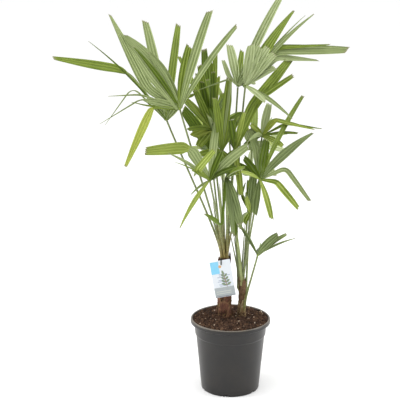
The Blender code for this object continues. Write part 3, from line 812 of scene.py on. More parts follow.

# %% [markdown]
# Each frond stands on a long thin stalk.
#
# A stalk leaves its sheath upright and bends over to where its fan hangs. A Bezier line
# with one guide point straight above the foot and one behind the fan gives that. Here
# is the same rule and the same table of places as in the solids. The table adds a tone
# to each leaflet: d deep green, g green, b bright green, y yellowish, and the undersides
# s sage, p pale and o olive-grey. These are partly the leaflets' own greens and partly
# painted light: d is painted shade on an upper side, o is painted shade on an underside,
# and b and y paint the glow of light shining through the blade. A second letter is the
# tone past the fold.
#
# A mark after the tone tells how the leaflet's shape departs from the common one: "-"
# narrows to a point, "=" stays wide where it is folded, and "~" is slim up to its fold
# and a spindle past it.

# %% Frond table
# A leaflet: tone and mark, then turn, lean, length and width, and where it is folded
# over the turn, lean and length of the part past the fold. Degrees and millimetres.
Frond = namedtuple("Frond", "hub face seat sway leaflets")
FRONDS = {
    "upper_left": Frond((-117, -75, 689), (-0.15, -0.88, 0.42), ("main", -1, -1), (0, 0), (
        ("gy~", -88, -11, 61, 19, -155, 20, 147), ("s-", -60, -20, 84, 26, -30, -26, 204),
        ("s-", -40, -25, 225, 50), ("d-", -39, -22, 180, 12), ("s-", -31, -24, 150, 19),
        ("g", 10, -24, 149, 28), ("s", 18, -22, 237, 21), ("s", 36, -16, 227, 16),
        ("s-", -80, -15, 92, 19), ("g", -28, -28, 120, 16), ("s", -72, -15, 92, 5, -92, 6, 75),
        ("g", -87, -15, 75, 5, -76, 5, 37))),
    "far_left": Frond((-149, 15, 648), (-0.1, -0.85, 0.5), ("main", -1, 0), (0, 0), (
        ("s", -51, -25, 78, 4, -120, 11, 118), ("s", -49, -25, 115, 4, -143, 22, 113),
        ("sg~", -42, -27, 156, 21, -82, -11, 184), ("d", -48, -24, 273, 5), ("s", -14, -31, 259, 22),
        ("g", 7, -30, 240, 19), ("s", 40, -25, 60, 20))),
    "mid_back": Frond((-45, 45, 619), (-0.1, -0.8, 0.6), ("main", 0, 1), (0, 0), (
        ("b", -135, 41, 60, 22), ("y", -100, 42, 63, 22), ("g", -76, 54, 95, 15),
        ("g", -47, -31, 104, 20), ("b", -38, 12, 97, 14), ("g", -27, -36, 216, 13),
        ("g", -22, 12, 108, 17), ("d", -11, 4, 118, 15), ("g", -11, -10, 153, 17),
        ("d", -6, -37, 133, 18), ("d", 1, 4, 137, 15), ("b", 7, -4, 127, 13), ("d", 29, -57, 130, 15))),
    "centre_up": Frond((-23, -45, 590), (0.1, -0.9, 0.4), ("main", 0, 0), (0, 0), (
        ("g", 6, -24, 168, 22), ("s-", 8, -22, 166, 7, -108, 14, 81), ("g", 32, -40, 105, 16),
        ("g", -8, 4, 123, 17), ("d", -18, -45, 130, 16), ("g", 150, 20, 55, 16),
        ("g", -100, 20, 70, 14))),
    "centre_right": Frond((6, -45, 591), (0.0, -0.9, 0.45), ("main", 1, 0), (0, 0), (
        ("g=", 23, -25, 106, 26, 41, -21, 148), ("g", 27, -24, 129, 15, 58, -15, 99),
        ("d", 14, -30, 90, 12, -116, 12, 39), ("b", 13, 12, 92, 13), ("d", -8, 10, 73, 16),
        ("b", 172, 25, 105, 15), ("d", -162, 30, 60, 16), ("g", -140, 15, 45, 14),
        ("d", -20, -60, 140, 14))),
    "top_back": Frond((15, 55, 720), (0.0, -0.8, 0.6), ("main", 1, 1), (0, 0), (
        ("p=", -43, 15, 32, 13, -20, -11, 41), ("p", -12, -36, 113, 21), ("g", 8, -37, 97, 14),
        ("p", 27, -19, 235, 20), ("p", 27, -6, 72, 18), ("p", 41, -4, 84, 20), ("p", 60, -50, 120, 16),
        ("s", 100, -72, 150, 14))),
    "top_right": Frond((30, 5, 728), (0.1, -0.85, 0.5), ("side", -1, 0), (-16, 0), (
        ("p", 9, -18, 99, 22), ("p", 21, -18, 100, 22), ("p", 32, -17, 102, 22),
        ("p", 44, -17, 100, 22), ("g-", 36, -29, 225, 25), ("s-", 47, -26, 247, 13),
        ("ps=", 41, -27, 110, 26, 91, -6, 180), ("g-", 41, -26, 116, 11, 87, -5, 130),
        ("p-", 50, -25, 100, 19, 95, -8, 105), ("p", 62, -20, 84, 20), ("s-", 124, 14, 130, 13),
        ("p", 121, 54, 85, 13), ("s", 44, -29, 236, 5))),
    "front_left": Frond((-51, -125, 540), (0.0, -0.7, 0.7), ("main", 0, -1), (0, 0), (
        ("b-", -143, 39, 137, 11), ("s", -62, -25, 116, 9), ("sb", -36, -39, 94, 28, -94, 4, 103),
        ("g", 20, -62, 110, 16), ("s", 8, -41, 150, 18), ("gb=", -50, 24, 38, 19, 37, 16, 68),
        ("d", 23, -16, 71, 14), ("d", 33, -38, 70, 14), ("s", 54, -30, 126, 21), ("d", 68, -14, 68, 15),
        ("g", -66, -17, 86, 4), ("s", -126, 16, 53, 6))),
    "front_droop": Frond((-15, -105, 540), (0.1, -0.55, 0.83), ("main", 1, -1), (0, 0), (
        ("d", 91, -56, 50, 18), ("o", 159, 53, 136, 26), ("dd~", -172, 57, 141, 17, -52, 10, 52),
        ("o", 173, 56, 162, 16), ("d", 171, 12, 130, 13), ("s", 163, 20, 118, 11),
        ("s", 172, 30, 84, 18), ("g", 40, 60, 110, 16), ("d", 52, -37, 34, 14))),
    "right_front": Frond((62, -65, 527), (0.1, -0.7, 0.7), ("side", 0.5, -1), (0, 0), (
        ("b", -61, 33, 60, 10), ("ss", -5, -45, 79, 19, -22, -41, 59), ("d", 14, -45, 112, 22),
        ("g", 34, -42, 262, 12), ("o-", 56, -34, 186, 22), ("s=", 72, -24, 67, 12, 141, 35, 100),
        ("gb=", 99, 1, 36, 15, 137, 33, 85), ("b", 163, 42, 105, 14), ("d", -62, -25, 72, 15),
        ("d", -40, -33, 68, 16), ("o", -171, 22, 82, 16))),
    "right_young": Frond((42, -20, 438), (0.0, -0.85, 0.5), ("side flank", 0, 226), (0, 0), (
        ("o", 6, -12, 90, 20), ("g", -25, -20, 45, 9, 20, -20, 30), ("b", -14, 21, 46, 12),
        ("g", -146, 44, 34, 12), ("g", 2, -60, 110, 14))),
    "right_back": Frond((72, 45, 605), (0.0, -0.75, 0.65), ("side", 0.5, 1), (0, 0), (
        ("d", -68, -70, 90, 15), ("s", -69, 30, 42, 18), ("b", -44, 25, 46, 14), ("p", 16, -40, 89, 19),
        ("b-", 28, 10, 45, 12, 103, 3, 104), ("y", 40, 15, 58, 11), ("g", 66, -19, 63, 8, 97, 6, 87),
        ("g", 85, 7, 83, 10), ("b", 109, 49, 72, 18), ("d", -122, -12, 50, 14),
        ("g", 30, -75, 140, 14))),
    "low_right": Frond((60, -55, 346), (0.0, -0.85, 0.5), ("side flank", -50, 204), (0, 0), (
        ("o", -35, -26, 104, 9), ("o", 37, 25, 80, 20), ("s", 46, 23, 95, 10), ("s", 58, 22, 105, 6))),
    "rear_left": Frond((-46, 150, 545), (0.0, -0.5, 0.85), ("main", -1, 1), (0, 0), (
        ("d", -35, -18, 130, 30), ("d", -43, 67, 98, 18), ("g", -10, -18, 197, 19),
        ("d", -4, -18, 254, 22), ("g", -1, -19, 231, 22), ("g", 3, -18, 239, 17),
        ("g", 12, -18, 148, 19), ("g", -110, -62, 180, 20), ("b", -36, -66, 180, 20),
        ("g", 8, -60, 180, 19), ("b", 82, -62, 180, 19), ("g", -158, -56, 180, 20),
        ("y", 162, -50, 180, 18))),
    "rear_right": Frond((53, 140, 552), (0.0, 0.3, 0.95), ("side flank", 75, 236), (0, 0), (
        ("b", -28, -72, 185, 20), ("d", -21, 20, 71, 17), ("g", 12, -66, 185, 19),
        ("d", 52, -67, 185, 20), ("g", 84, -57, 185, 20), ("b", 112, -57, 185, 20),
        ("g", 146, -50, 185, 19), ("y", 176, -62, 185, 18), ("g", -146, -66, 185, 20))),
    "rear_top": Frond((-5, 150, 629), (0.0, 0.3, 0.95), ("side flank", 180, 248), (0, 0), (
        ("g", -96, -70, 190, 18), ("b", -58, -71, 190, 19), ("g", -27, -68, 190, 19),
        ("d", 4, -74, 190, 18), ("g", 112, -64, 190, 18), ("b", 150, -72, 160, 17))),
}
print("fronds", len(FRONDS), "leaflets", sum(len(f.leaflets) for f in FRONDS.values()))

# %% [markdown]
# A stalk is a smooth tapering tube in a sheath.
#
# Near the foot the real stalk widens and flattens where it clasps the stem, and turns
# from olive green to a yellowish brown. The tube's rings widen there by the same few
# millimetres. The colour follows the distance from the foot, which the size map holds
# in metres.

# %% Stalks
STALK_FOOT_RADIUS = 2.3 * MM
STALK_FOOT_WIDTH = 2.6 * MM
STALK_TIP_WIDTH = 2.1 * MM
STALK_RISE = 0.12
STALK_REACH = 0.35
MAIN_SPACING = 7 * MM
SIDE_SPACING = 3.4 * MM
HUB_RADIUS = 5 * MM
STALK_SIDES = 12
STALK_ROWS = 60
STALK_FLAT = 0.82
CLASP_WIDTH = 1.3 * MM
CLASP_LENGTH = 30 * MM
SIDE_GREEN = 55 * MM
STALK_ROOT = 14 * MM
STALK_INWARD = 0.45
STALK_IOR = 1.45
BLOTCH_SIZE = 18 * MM
LINE_LENGTH = 60 * MM


def seat_of(seat):
    """Where a stalk's foot stands: in a grid on a stem's top, or against its flank."""
    kind, first, second = seat
    if kind == "main":
        return MAIN_TOP + MAIN_SPACING * Vector((first, second, 0))
    if kind == "side":
        return SIDE_TOP + SIDE_SPACING * Vector((first, second * math.sqrt(3) / 2, 0))
    share = (second * MM - SIDE_FOOT.z) / (SIDE_TOP.z - SIDE_FOOT.z)
    return stem_point(SIDE_STEM, share, math.radians(first), STALK_FOOT_RADIUS)


def bezier(points, t):
    a, b, c, d = points
    s = 1 - t
    return a * s ** 3 + b * 3 * s * s * t + c * 3 * s * t * t + d * t ** 3


def stalk_line(frond):
    """Points up a stalk, from its seat to its hub."""
    foot = seat_of(frond.seat)
    hub = Vector(frond.hub) * MM
    length = (hub - foot).length
    way = (hub - foot) / length
    end = hub - way * HUB_RADIUS * 0.5
    sway = Vector((*frond.sway, 0)) * MM
    guide = (foot, foot + UP * STALK_RISE * length + sway, end - way * STALK_REACH * length + sway, end)
    return [bezier(guide, i / STALK_ROWS) for i in range(STALK_ROWS + 1)], length


def make_stalk(place, frond, material):
    """A tube up the stalk's line, rooted in the crown below its foot."""
    mass = Mass()
    centres, length = stalk_line(frond)
    on_main = frond.seat[0] == "main"
    axis = MAIN_TOP if on_main else SIDE_TOP
    inward = Vector((axis.x - centres[0].x, axis.y - centres[0].y, 0)) * STALK_INWARD
    rings = [ring_about(centres[0] + inward - UP * STALK_ROOT, UP, STALK_TIP_WIDTH, STALK_SIDES)]
    for index, centre in enumerate(centres):
        share = index / STALK_ROWS
        along = UP if index == 0 else follow(centres, index)
        clasp = CLASP_WIDTH * math.exp(-share * length / CLASP_LENGTH)
        radius = STALK_FOOT_WIDTH + (STALK_TIP_WIDTH - STALK_FOOT_WIDTH) * share + clasp
        rings.append(ring_about(centre, along, radius, STALK_SIDES, STALK_FLAT))
    add_tube(mass, rings, step=length / STALK_ROWS, begin=-STALK_ROOT if on_main else SIDE_GREEN)
    make_piece(f"stalk_{place}_rind", mass, [material], [f"stalk_{place}"])


def rind_finish(name, dark, light):
    """A smooth rind, straw-coloured near the foot and green above, with fine lines."""
    material, tree, shader = start_material(name, 0.42, STALK_IOR)
    place = add(tree, "TexCoord")["Object"]
    climb = add(tree, "SeparateXYZ", {0: add(tree, "UVMap", uv_map="SizeMap")["UV"]})["Y"]
    blotch = add(tree, "TexNoise", {"Vector": place, "Scale": 1 / BLOTCH_SIZE, "Detail": 3.0})["Fac"]
    squeeze = (1 / STREAK_WIDTH, 1 / STREAK_WIDTH, 1 / LINE_LENGTH)
    drawn = add(tree, "Mapping", {"Vector": place, "Scale": squeeze})["Vector"]
    lines = add(tree, "TexNoise", {"Vector": drawn, "Scale": 1.0, "Detail": 2.0})["Fac"]
    streak = add(tree, "MapRange", {"Value": lines, "From Min": 0.35, "From Max": 0.65})["Result"]
    uneven = add(tree, "Math", {0: blotch, 1: 0.09, 2: climb}, operation="MULTIPLY_ADD")[0]
    height = add(tree, "MapRange", {"Value": uneven, "From Min": 0.05, "From Max": 0.16})["Result"]
    green = add(tree, "Mix", {0: streak, 6: dark, 7: light}, data_type="RGBA")[2]
    straw = add(tree, "Mix", {0: streak, 6: "#54461f", 7: "#9a8844"}, data_type="RGBA")[2]
    tone = add(tree, "Mix", {0: height, 6: straw, 7: green}, data_type="RGBA")[2]
    coat(shader, tone, add(tree, "Bump", {"Height": lines, "Strength": 0.3, "Distance": 0.2 * MM})["Normal"])
    return material


stalk_rind = rind_finish("smooth_olive_stalk_rind", "#49542f", "#909b62")
young_rind = rind_finish("smooth_young_sheath", "#717f45", "#abb67c")
for place_name, frond in FRONDS.items():
    make_stalk(place_name, frond, stalk_rind)
print("stalks", len(FRONDS))

# %% [markdown]
# Between the stalks stand the spears, which are leaves that haven't opened.
#
# A palm makes each new leaf as a tightly shut, pointed blade in the middle of the crown,
# and the green sheath of the newest leaf stands free of the stem for a hand's length.
# Both are slim, slightly flat tubes, thickest below their middle and drawn out to a point.
# They stand in the bundle, so they make it dense without changing its outline. The
# thickest are the youngest, and they are paler.

# %% Spears
Spear = namedtuple("Spear", "foot tip radius")
SPEARS = (
    Spear((-16, 3, 322), (-19, -10, 453), 3.4), Spear((-22, -2, 322), (-33, -20, 435), 2.6),
    Spear((-11, 9, 322), (-5, 0, 472), 3.0), Spear((-23, 12, 322), (-42, 20, 453), 2.6),
    Spear((-8, 1, 322), (6, -20, 424), 2.6), Spear((-14, 12, 322), (-26, 40, 470), 3.0),
    Spear((-18, 7, 322), (-27, 6, 500), 4.0), Spear((-10, 4, 322), (-4, 2, 496), 3.8),
    Spear((25, 0, 254), (10, -14, 412), 4.2), Spear((22, 5, 240), (-6, 4, 404), 1.9),
    Spear((23, 9, 236), (4, 12, 396), 1.7), Spear((30, 2, 258), (46, -6, 400), 1.6),
    Spear((26, 10, 258), (34, 28, 410), 1.8),
)
SPEAR_ROWS = 36
SPEAR_FLAT = 0.7
SPEAR_RISE = 0.25
PALE_ABOVE = 3.5


def spear_shape(share):
    """Thickness of a spear along its length."""
    return 0.12 + 0.88 * math.sin(math.pi * min(1.0, 0.3 + 0.7 * share)) ** 0.8


def add_spear(mass, spear):
    """A slim tube from foot to tip that leaves the stem upright."""
    foot, tip = Vector(spear.foot) * MM, Vector(spear.tip) * MM
    length = (tip - foot).length
    way = (tip - foot) / length
    guide = (foot, foot + UP * SPEAR_RISE * length, tip - way * STALK_REACH * length, tip)
    centres = [bezier(guide, i / SPEAR_ROWS) for i in range(SPEAR_ROWS + 1)]
    rings = []
    for index, centre in enumerate(centres):
        radius = spear.radius * MM * spear_shape(index / SPEAR_ROWS)
        rings.append(ring_about(centre, follow(centres, index), radius, STALK_SIDES, SPEAR_FLAT))
    skin = 1 if spear.radius > PALE_ABOVE else 0
    begin = SIDE_GREEN if spear.foot[0] > 0 else 0.0
    add_tube(mass, rings, skin, length / SPEAR_ROWS, begin)


spears = Mass()
for spear in SPEARS:
    add_spear(spears, spear)
make_piece("young_spears", spears, [stalk_rind, young_rind])
print("spears", len(SPEARS))

# %% [markdown]
# A palm leaf is pleated like a paper fan.
#
# Stiff ribs run from the hub to every tip and the blade goes up and down between them.
# Each leaflet is a stack of such zigzag cross-sections along its middle line. It is
# widest past its middle, and its tip is cut off blunt, a little oblique, with a short
# tooth at the end of each pleat. Where it has broken over, it narrows at the fold.
# Front and back are separate skins a fraction of a millimetre apart, so each can have
# its own green, and the whole is a closed solid.

# %% Leaflet rule
LEAF_ARCH = 0.045
LEAF_START = 1.5 * MM
LEAF_CUP = 0.10
LEAF_THICKNESS = 0.45 * MM
LEAF_TWIST = 0.28
FOLD_ROUND = 0.22
PLEAT_WIDTH = 6.5
PLEAT_DEPTH = 0.30
POINTS_PER_PLEAT = 4
ROW_LENGTH = 5.5
FEWEST_ROWS = 12
TOOTH = 2.6
CUT_FROM = 0.75
NECK = 0.45
ROOT_WIDTH = 0.36
TIP_WIDTH = 0.62
WIDEST = 0.5
NARROWS_FROM = 0.4
NECK_LENGTH = 0.05
BEND_FREE = math.radians(25)
BEND_FULL = math.radians(40)
HAIR_WIDTH = 9
SLIM_WIDTH = 0.36
TONES = "dgbyspo"
OTHER_SIDE = dict(zip(TONES, "ssppggd"))


def bearing(turn, lean):
    """Unit direction of a leaflet from its turn and lean."""
    turn, lean = math.radians(turn), math.radians(lean)
    return Vector((math.sin(turn) * math.cos(lean), -math.sin(lean), math.cos(turn) * math.cos(lean)))


def spine(sizes, rows):
    """Points down a leaflet's middle, the share at which it folds, and how far it narrows."""
    turn, lean, first, _ = sizes[:4]
    way = bearing(turn, lean)
    shares = [row / rows for row in range(rows + 1)]
    if len(sizes) == 4:
        rise = (UP - UP.dot(way) * way).normalized()
        arch = LEAF_ARCH * (1 - max(0.0, way.z) ** 4)
        return [(way * t + rise * 4 * t * (1 - t) * arch) * first * MM for t in shares], 1.0, 0.0
    next_turn, next_lean, past = sizes[4:]
    next_way = bearing(next_turn, next_lean)
    fold = way * first * MM
    tip = fold + next_way * past * MM
    at = first / (first + past)
    half = FOLD_ROUND * min(first, past) / (first + past)
    enter = fold * (at - half) / at
    leave = fold.lerp(tip, half / (1 - at))
    points = []
    for t in shares:
        if t <= at - half:
            points.append(fold * t / at)
        elif t >= at + half:
            points.append(fold.lerp(tip, (t - at) / (1 - at)))
        else:
            u = (t - at + half) / (2 * half)
            points.append(enter.lerp(fold, u).lerp(fold.lerp(leave, u), u))
    bend = max(0.0, way.angle(next_way) - BEND_FREE) / BEND_FULL
    return points, at, NECK * min(1.0, bend)


def leaf_width(t, fold_at, neck, pointed, slim):
    """Width along a leaflet, as a part of its full width."""
    if slim:
        past = max(0.0, (t - fold_at) / (1 - fold_at))
        return SLIM_WIDTH + (1 - SLIM_WIDTH) * math.sin(math.pi * past ** 0.6)
    if t < WIDEST:
        width = ROOT_WIDTH + (1 - ROOT_WIDTH) * math.sin(t / WIDEST * math.pi / 2) ** 1.1
    else:
        width = 1 - (1 - TIP_WIDTH) * ((t - WIDEST) / (1 - WIDEST)) ** 2.2
    if pointed:
        width *= 1 - 0.7 * max(0, (t - NARROWS_FROM) / (1 - NARROWS_FROM)) ** 1.4
    return width * (1 - neck * math.exp(-((t - fold_at) / NECK_LENGTH) ** 2))


def zigzag(x):
    """A soft pleat: 1 on the ribs, 0 halfway between them."""
    return abs(math.cos(math.pi * x)) ** 0.8


def add_leaflet(mass, hub, face, leaflet, rng, roll=0.0):
    """One pleated leaflet with its roots in the hub; returns its middle line."""
    tones, sizes = leaflet[0].rstrip("-=~"), leaflet[1:]
    turn, lean, first, full = sizes[:4]
    pointed = leaflet[0].endswith("-") or full <= HAIR_WIDTH
    slim = leaflet[0].endswith("~")
    length = first + sum(sizes[6:])
    rows = max(FEWEST_ROWS, round(length / ROW_LENGTH))
    pleats = max(1, round(full / PLEAT_WIDTH))
    columns = [column / (pleats * POINTS_PER_PLEAT) for column in range(pleats * POINTS_PER_PLEAT + 1)]
    middle, fold_at, neck = spine(sizes, rows)
    if leaflet[0].endswith("="):
        neck = 0.0
    start = hub + bearing(turn, lean) * LEAF_START
    oblique = rng.uniform(-0.5, 0.5) * full / length
    twist = rng.uniform(-LEAF_TWIST, LEAF_TWIST)
    cuts = []
    for across in columns:
        tooth = TOOTH / length * (1 - zigzag(across * pleats)) * rng.uniform(0.4, 1.6)
        cuts.append(1 - abs(oblique) / 2 + oblique * (across - 0.5) - tooth)
    grid = []
    for row in range(rows + 1):
        t = row / rows
        along = follow(middle, row)
        normal = (face - face.dot(along) * along).normalized()
        normal = Matrix.Rotation(roll + twist * t, 3, along) @ normal
        side = along.cross(normal)
        span = full * MM * leaf_width(t, fold_at, neck, pointed, slim)
        near_tip = max(0.0, (t - CUT_FROM) / (1 - CUT_FROM)) ** 2
        grid.append([])
        for across, cut in zip(columns, cuts):
            beside = 2 * across - 1
            pull = (1 - cut) * near_tip * length * MM
            pleat = (zigzag(across * pleats) - 0.5) * PLEAT_DEPTH * span / pleats
            lift = pleat + LEAF_CUP * span * beside ** 2
            place = start + middle[row] + side * span * beside / 2 + normal * lift - along * pull
            metres, share = (beside * span / 2, t * length * MM), (across * pleats, t)
            grid[-1].append((place, place - normal * LEAF_THICKNESS, metres, share))
    shown = [tones[0] if (row + 0.5) / rows < fold_at else tones[-1] for row in range(rows)]
    fronts = [TONES.index(tone) for tone in shown]
    add_sheet(mass, grid, fronts, [TONES.index(OTHER_SIDE[tone]) for tone in shown])
    return middle


print("pleat of a 20 mm leaflet", round(20 / PLEAT_WIDTH), "ribs")

# %% [markdown]
# Near the hub the leaflets are still joined.
#
# A fan palm's leaf starts as one pleated sheet and splits only part of the way down.
# Between neighbours that stand close, a small web fills the corner up to a notch. It
# hangs between the two middle lines, a little behind them, and dips in a pleat.
#
# No two leaflets lie in one plane, so each is rolled a little about its middle, and
# one that hangs steeply is rolled more. The front view shows few of those that point to
# the eye or away from it. Spare ones stand there, in line with their neighbours, which
# gives a fan its depth without changing its outline.

# %% Webs and hubs
WEB_SHARE = 0.33
WEB_SHARE_JOINED = 0.75
WEB_ROWS = 8
WEB_COLUMNS = 8
WEB_WIDEST = math.radians(46)
WEB_SHORTEST = 12 * MM
WEB_NOTCH = 0.45
WEB_BEHIND = 0.7 * MM
WEB_DIP = 0.22
JOINED_FANS = ("top_back", "top_right")
ROLL = 0.3
STEEP = 45
STEEP_ROLL = 2.5
VIEW_WAY = Vector((0.0, math.cos(CAMERA_PITCH), -math.sin(CAMERA_PITCH)))
SPARE_SPREAD = (5, 20)
SPARE_LENGTH = (105, 165)
SPARE_WIDTH = (14, 20)
SPARE_ROLL = (0.5, 1.4)
SPARE_SEED = 500
SPARES = {
    "upper_left": (5, 0), "far_left": (4, 0), "mid_back": (3, 1), "centre_up": (4, 0),
    "centre_right": (4, 0), "top_back": (3, 0), "top_right": (4, 0), "front_left": (4, 0),
    "front_droop": (3, 0), "right_front": (5, 0), "right_young": (2, 0), "right_back": (3, 1),
    "low_right": (1, 0), "rear_left": (0, 0), "rear_right": (0, 1), "rear_top": (0, 1),
}
HUB_SIZE = Vector((3.2 * MM, 3.2 * MM, 2.2 * MM))


def reach_along(points, distance):
    """The point on a line at a distance from its start."""
    gone = 0.0
    for before, after in zip(points, points[1:]):
        step = (after - before).length
        if gone + step >= distance:
            return before.lerp(after, (distance - gone) / step)
        gone += step
    return points[-1]


def add_web(mass, hub, face, first, second, reach, tone):
    """A thin sheet between two leaflets' middle lines, notched in its middle."""
    grid = []
    for row in range(WEB_ROWS + 1):
        t = row / WEB_ROWS
        grid.append([])
        for column in range(WEB_COLUMNS + 1):
            across = column / WEB_COLUMNS
            notch = 1 - WEB_NOTCH * (1 - abs(2 * across - 1))
            distance = max(reach * t * notch, 0.2 * MM)
            left, right = reach_along(first, distance), reach_along(second, distance)
            span = (right - left).length
            dip = WEB_BEHIND + WEB_DIP * span * math.sin(math.pi * across)
            place = hub + left.lerp(right, across) - face * dip
            metres, share = (across * span, distance), (across, t * 0.8)
            grid[-1].append((place, place - face * LEAF_THICKNESS, metres, share))
    add_sheet(mass, grid, [TONES.index(tone)] * WEB_ROWS, [TONES.index("s")] * WEB_ROWS)


def add_spares(mass, hub, face, frond, counts, seed):
    """Leaflets before and behind the fan, each in line with one of the table's."""
    rng = random.Random(seed)
    wide = [leaflet for leaflet in frond.leaflets if leaflet[4] > HAIR_WIDTH]
    guides = [(leaflet[0][0], bearing(*leaflet[1:3])) for leaflet in wide]
    rng.shuffle(guides)
    for side, count in zip((1, -1), counts):
        for index in range(count):
            tone, guide = guides[(index * 2 + side) % len(guides)]
            away = (guide - guide.dot(VIEW_WAY) * VIEW_WAY).normalized()
            spread = math.radians(rng.uniform(*SPARE_SPREAD))
            way = side * VIEW_WAY * math.cos(spread) + away * math.sin(spread)
            turn, lean = math.degrees(math.atan2(way.x, way.z)), math.degrees(math.asin(-way.y))
            length, width = rng.uniform(*SPARE_LENGTH), rng.uniform(*SPARE_WIDTH)
            roll = rng.choice((-1, 1)) * rng.uniform(*SPARE_ROLL)
            add_leaflet(mass, hub, face, (tone, turn, lean, length, width), rng, roll)


def make_fan(place, frond, seed):
    """All leaflets, webs and the hub of one frond in one mesh; returns its face count."""
    rng = random.Random(seed)
    mass = Mass()
    hub = Vector(frond.hub) * MM
    face = Vector(frond.face).normalized()
    flat = face.orthogonal().normalized()
    other = face.cross(flat)
    found = []
    for leaflet in frond.leaflets:
        roll = rng.uniform(-ROLL, ROLL) if leaflet[4] > HAIR_WIDTH else 0.0
        if abs(leaflet[2]) > STEEP and leaflet[0][-1] not in "=~":
            roll *= STEEP_ROLL
        middle = add_leaflet(mass, hub, face, leaflet, rng, roll)
        way = bearing(leaflet[1], leaflet[2])
        angle = math.atan2(way.dot(other), way.dot(flat))
        found.append((angle, way, middle, leaflet))
    found.sort(key=lambda item: item[0])
    share = WEB_SHARE_JOINED if place in JOINED_FANS else WEB_SHARE
    for near, beyond in zip(found, found[1:] + found[:1]):
        thinnest = min(near[3][4], beyond[3][4])
        reach = share * min(near[3][3], beyond[3][3]) * MM
        if near[1].angle(beyond[1]) < WEB_WIDEST and thinnest > HAIR_WIDTH and reach > WEB_SHORTEST:
            add_web(mass, hub, face, near[2], beyond[2], reach, near[3][0][0])
    add_spares(mass, hub, face, frond, SPARES[place], seed + SPARE_SEED)
    add_lump(mass, hub, HUB_SIZE, rng, TONES.index("g"))
    make_piece(f"fan_{place}", mass, leaf_skins, [f"blade_{place}"], 62)
    return len(mass.faces)


print("spare leaflets", sum(sum(counts) for counts in SPARES.values()))

# %% [markdown]
# The leaf's finish is a living blade with a wax skin.
#
# The upper side is satin, because its cuticle is smooth wax with an IOR near 1.45. The
# underside is matter and paler. Fine veins run along the blade about 0.7 mm apart. That
# is too fine for a picture of the whole plant, so they are drawn 1.6 mm apart. One flank
# of each pleat is painted darker than the other, a painted shade that shows as stripes
# from afar. Each tone's dark and light colour are mixed by this painted shade, the veins
# and the mottling. The last millimetres of each tip have dried to a greyish tan.

# %% Leaf finishes
LEAF_IOR = 1.45
VEIN_WIDTH = 1.6 * MM
VEIN_LENGTH = 90 * MM
MOTTLE_SIZE = 35 * MM
WAX_GLOSS = 0.35
DRY_TIP = "#8f8a6e"
FIRST_SEED = 100
# Partly painted light: deep green and olive-grey paint shade, bright and yellow-green paint glow.
LEAF_TONES = {
    "d": ("deep_green_blade_painted_shade", "#364706", "#647a1c", 0.46),
    "g": ("green_blade", "#4e6010", "#86993a", 0.46),
    "b": ("bright_green_blade_painted_glow", "#6b7d24", "#a1b052", 0.48),
    "y": ("yellow_green_blade_painted_glow", "#80902a", "#b4bd58", 0.48),
    "s": ("sage_blade_underside", "#6c7b46", "#9ba872", 0.58),
    "p": ("pale_blade_underside", "#84935c", "#b2bd8e", 0.60),
    "o": ("olive_grey_underside_painted_shade", "#4b5a2e", "#7c8b55", 0.56),
}


def leaf_finish(name, dark, light, roughness):
    """A waxy blade: veins, painted shade on one flank of each pleat, pale mottling and a dry tip."""
    material, tree, shader = start_material(name, roughness, LEAF_IOR, WAX_GLOSS)
    place = add(tree, "TexCoord")["Object"]
    size_map = add(tree, "UVMap", uv_map="SizeMap")["UV"]
    share = add(tree, "SeparateXYZ", {0: add(tree, "UVMap", uv_map="ShareMap")["UV"]})
    squeeze = (1 / VEIN_WIDTH, 1 / VEIN_LENGTH, 1.0)
    drawn = add(tree, "Mapping", {"Vector": size_map, "Scale": squeeze})["Vector"]
    veins = add(tree, "TexNoise", {"Vector": drawn, "Scale": 1.0, "Detail": 2.0})["Fac"]
    mottle = add(tree, "TexNoise", {"Vector": place, "Scale": 1 / MOTTLE_SIZE, "Detail": 2.0})["Fac"]
    flank = add(tree, "Math", {0: share["X"]}, operation="FRACT")[0]
    # Painted shade: one flank of each pleat is darker.
    painted_pleat_shade = add(tree, "MapRange", {"Value": flank, "From Min": 0.42, "From Max": 0.58})["Result"]
    cloudy = add(tree, "MapRange", {"Value": mottle, "From Min": 0.3, "From Max": 0.7})["Result"]
    part = add(tree, "Math", {0: painted_pleat_shade, 1: 0.45}, operation="MULTIPLY")[0]
    more = add(tree, "Math", {0: veins, 1: 0.5, 2: part}, operation="MULTIPLY_ADD")[0]
    full = add(tree, "Math", {0: cloudy, 1: 0.3, 2: more}, operation="MULTIPLY_ADD", use_clamp=True)[0]
    green = add(tree, "Mix", {0: full, 6: dark, 7: light}, data_type="RGBA")[2]
    ragged = add(tree, "Math", {0: veins, 1: 0.03, 2: share["Y"]}, operation="MULTIPLY_ADD")[0]
    ends = {"Value": ragged, "From Min": 0.985, "From Max": 1.01, "To Max": 0.8}
    dry = add(tree, "MapRange", ends)["Result"]
    tone = add(tree, "Mix", {0: dry, 6: green, 7: DRY_TIP}, data_type="RGBA")[2]
    coat(shader, tone, add(tree, "Bump", {"Height": veins, "Strength": 0.35, "Distance": 0.3 * MM})["Normal"])
    return material


leaf_skins = [leaf_finish(*LEAF_TONES[letter]) for letter in TONES]
leaf_faces = [make_fan(*item, FIRST_SEED + i) for i, item in enumerate(FRONDS.items())]
print("leaf faces", sum(leaf_faces))

# %% [markdown]
# A printed card hangs from the crown on a plastic strap.
#
# Garden centres hang such a card on each plant: thin board with a satin varnish. Its
# print here is a plain design of its own: a blue corner, a round sun, grey-blue bands, a
# leafy sprig and a grey foot with two pale stripes. Each printed shape is a very thin
# slice on the board's front, so it keeps a crisp edge at any distance.

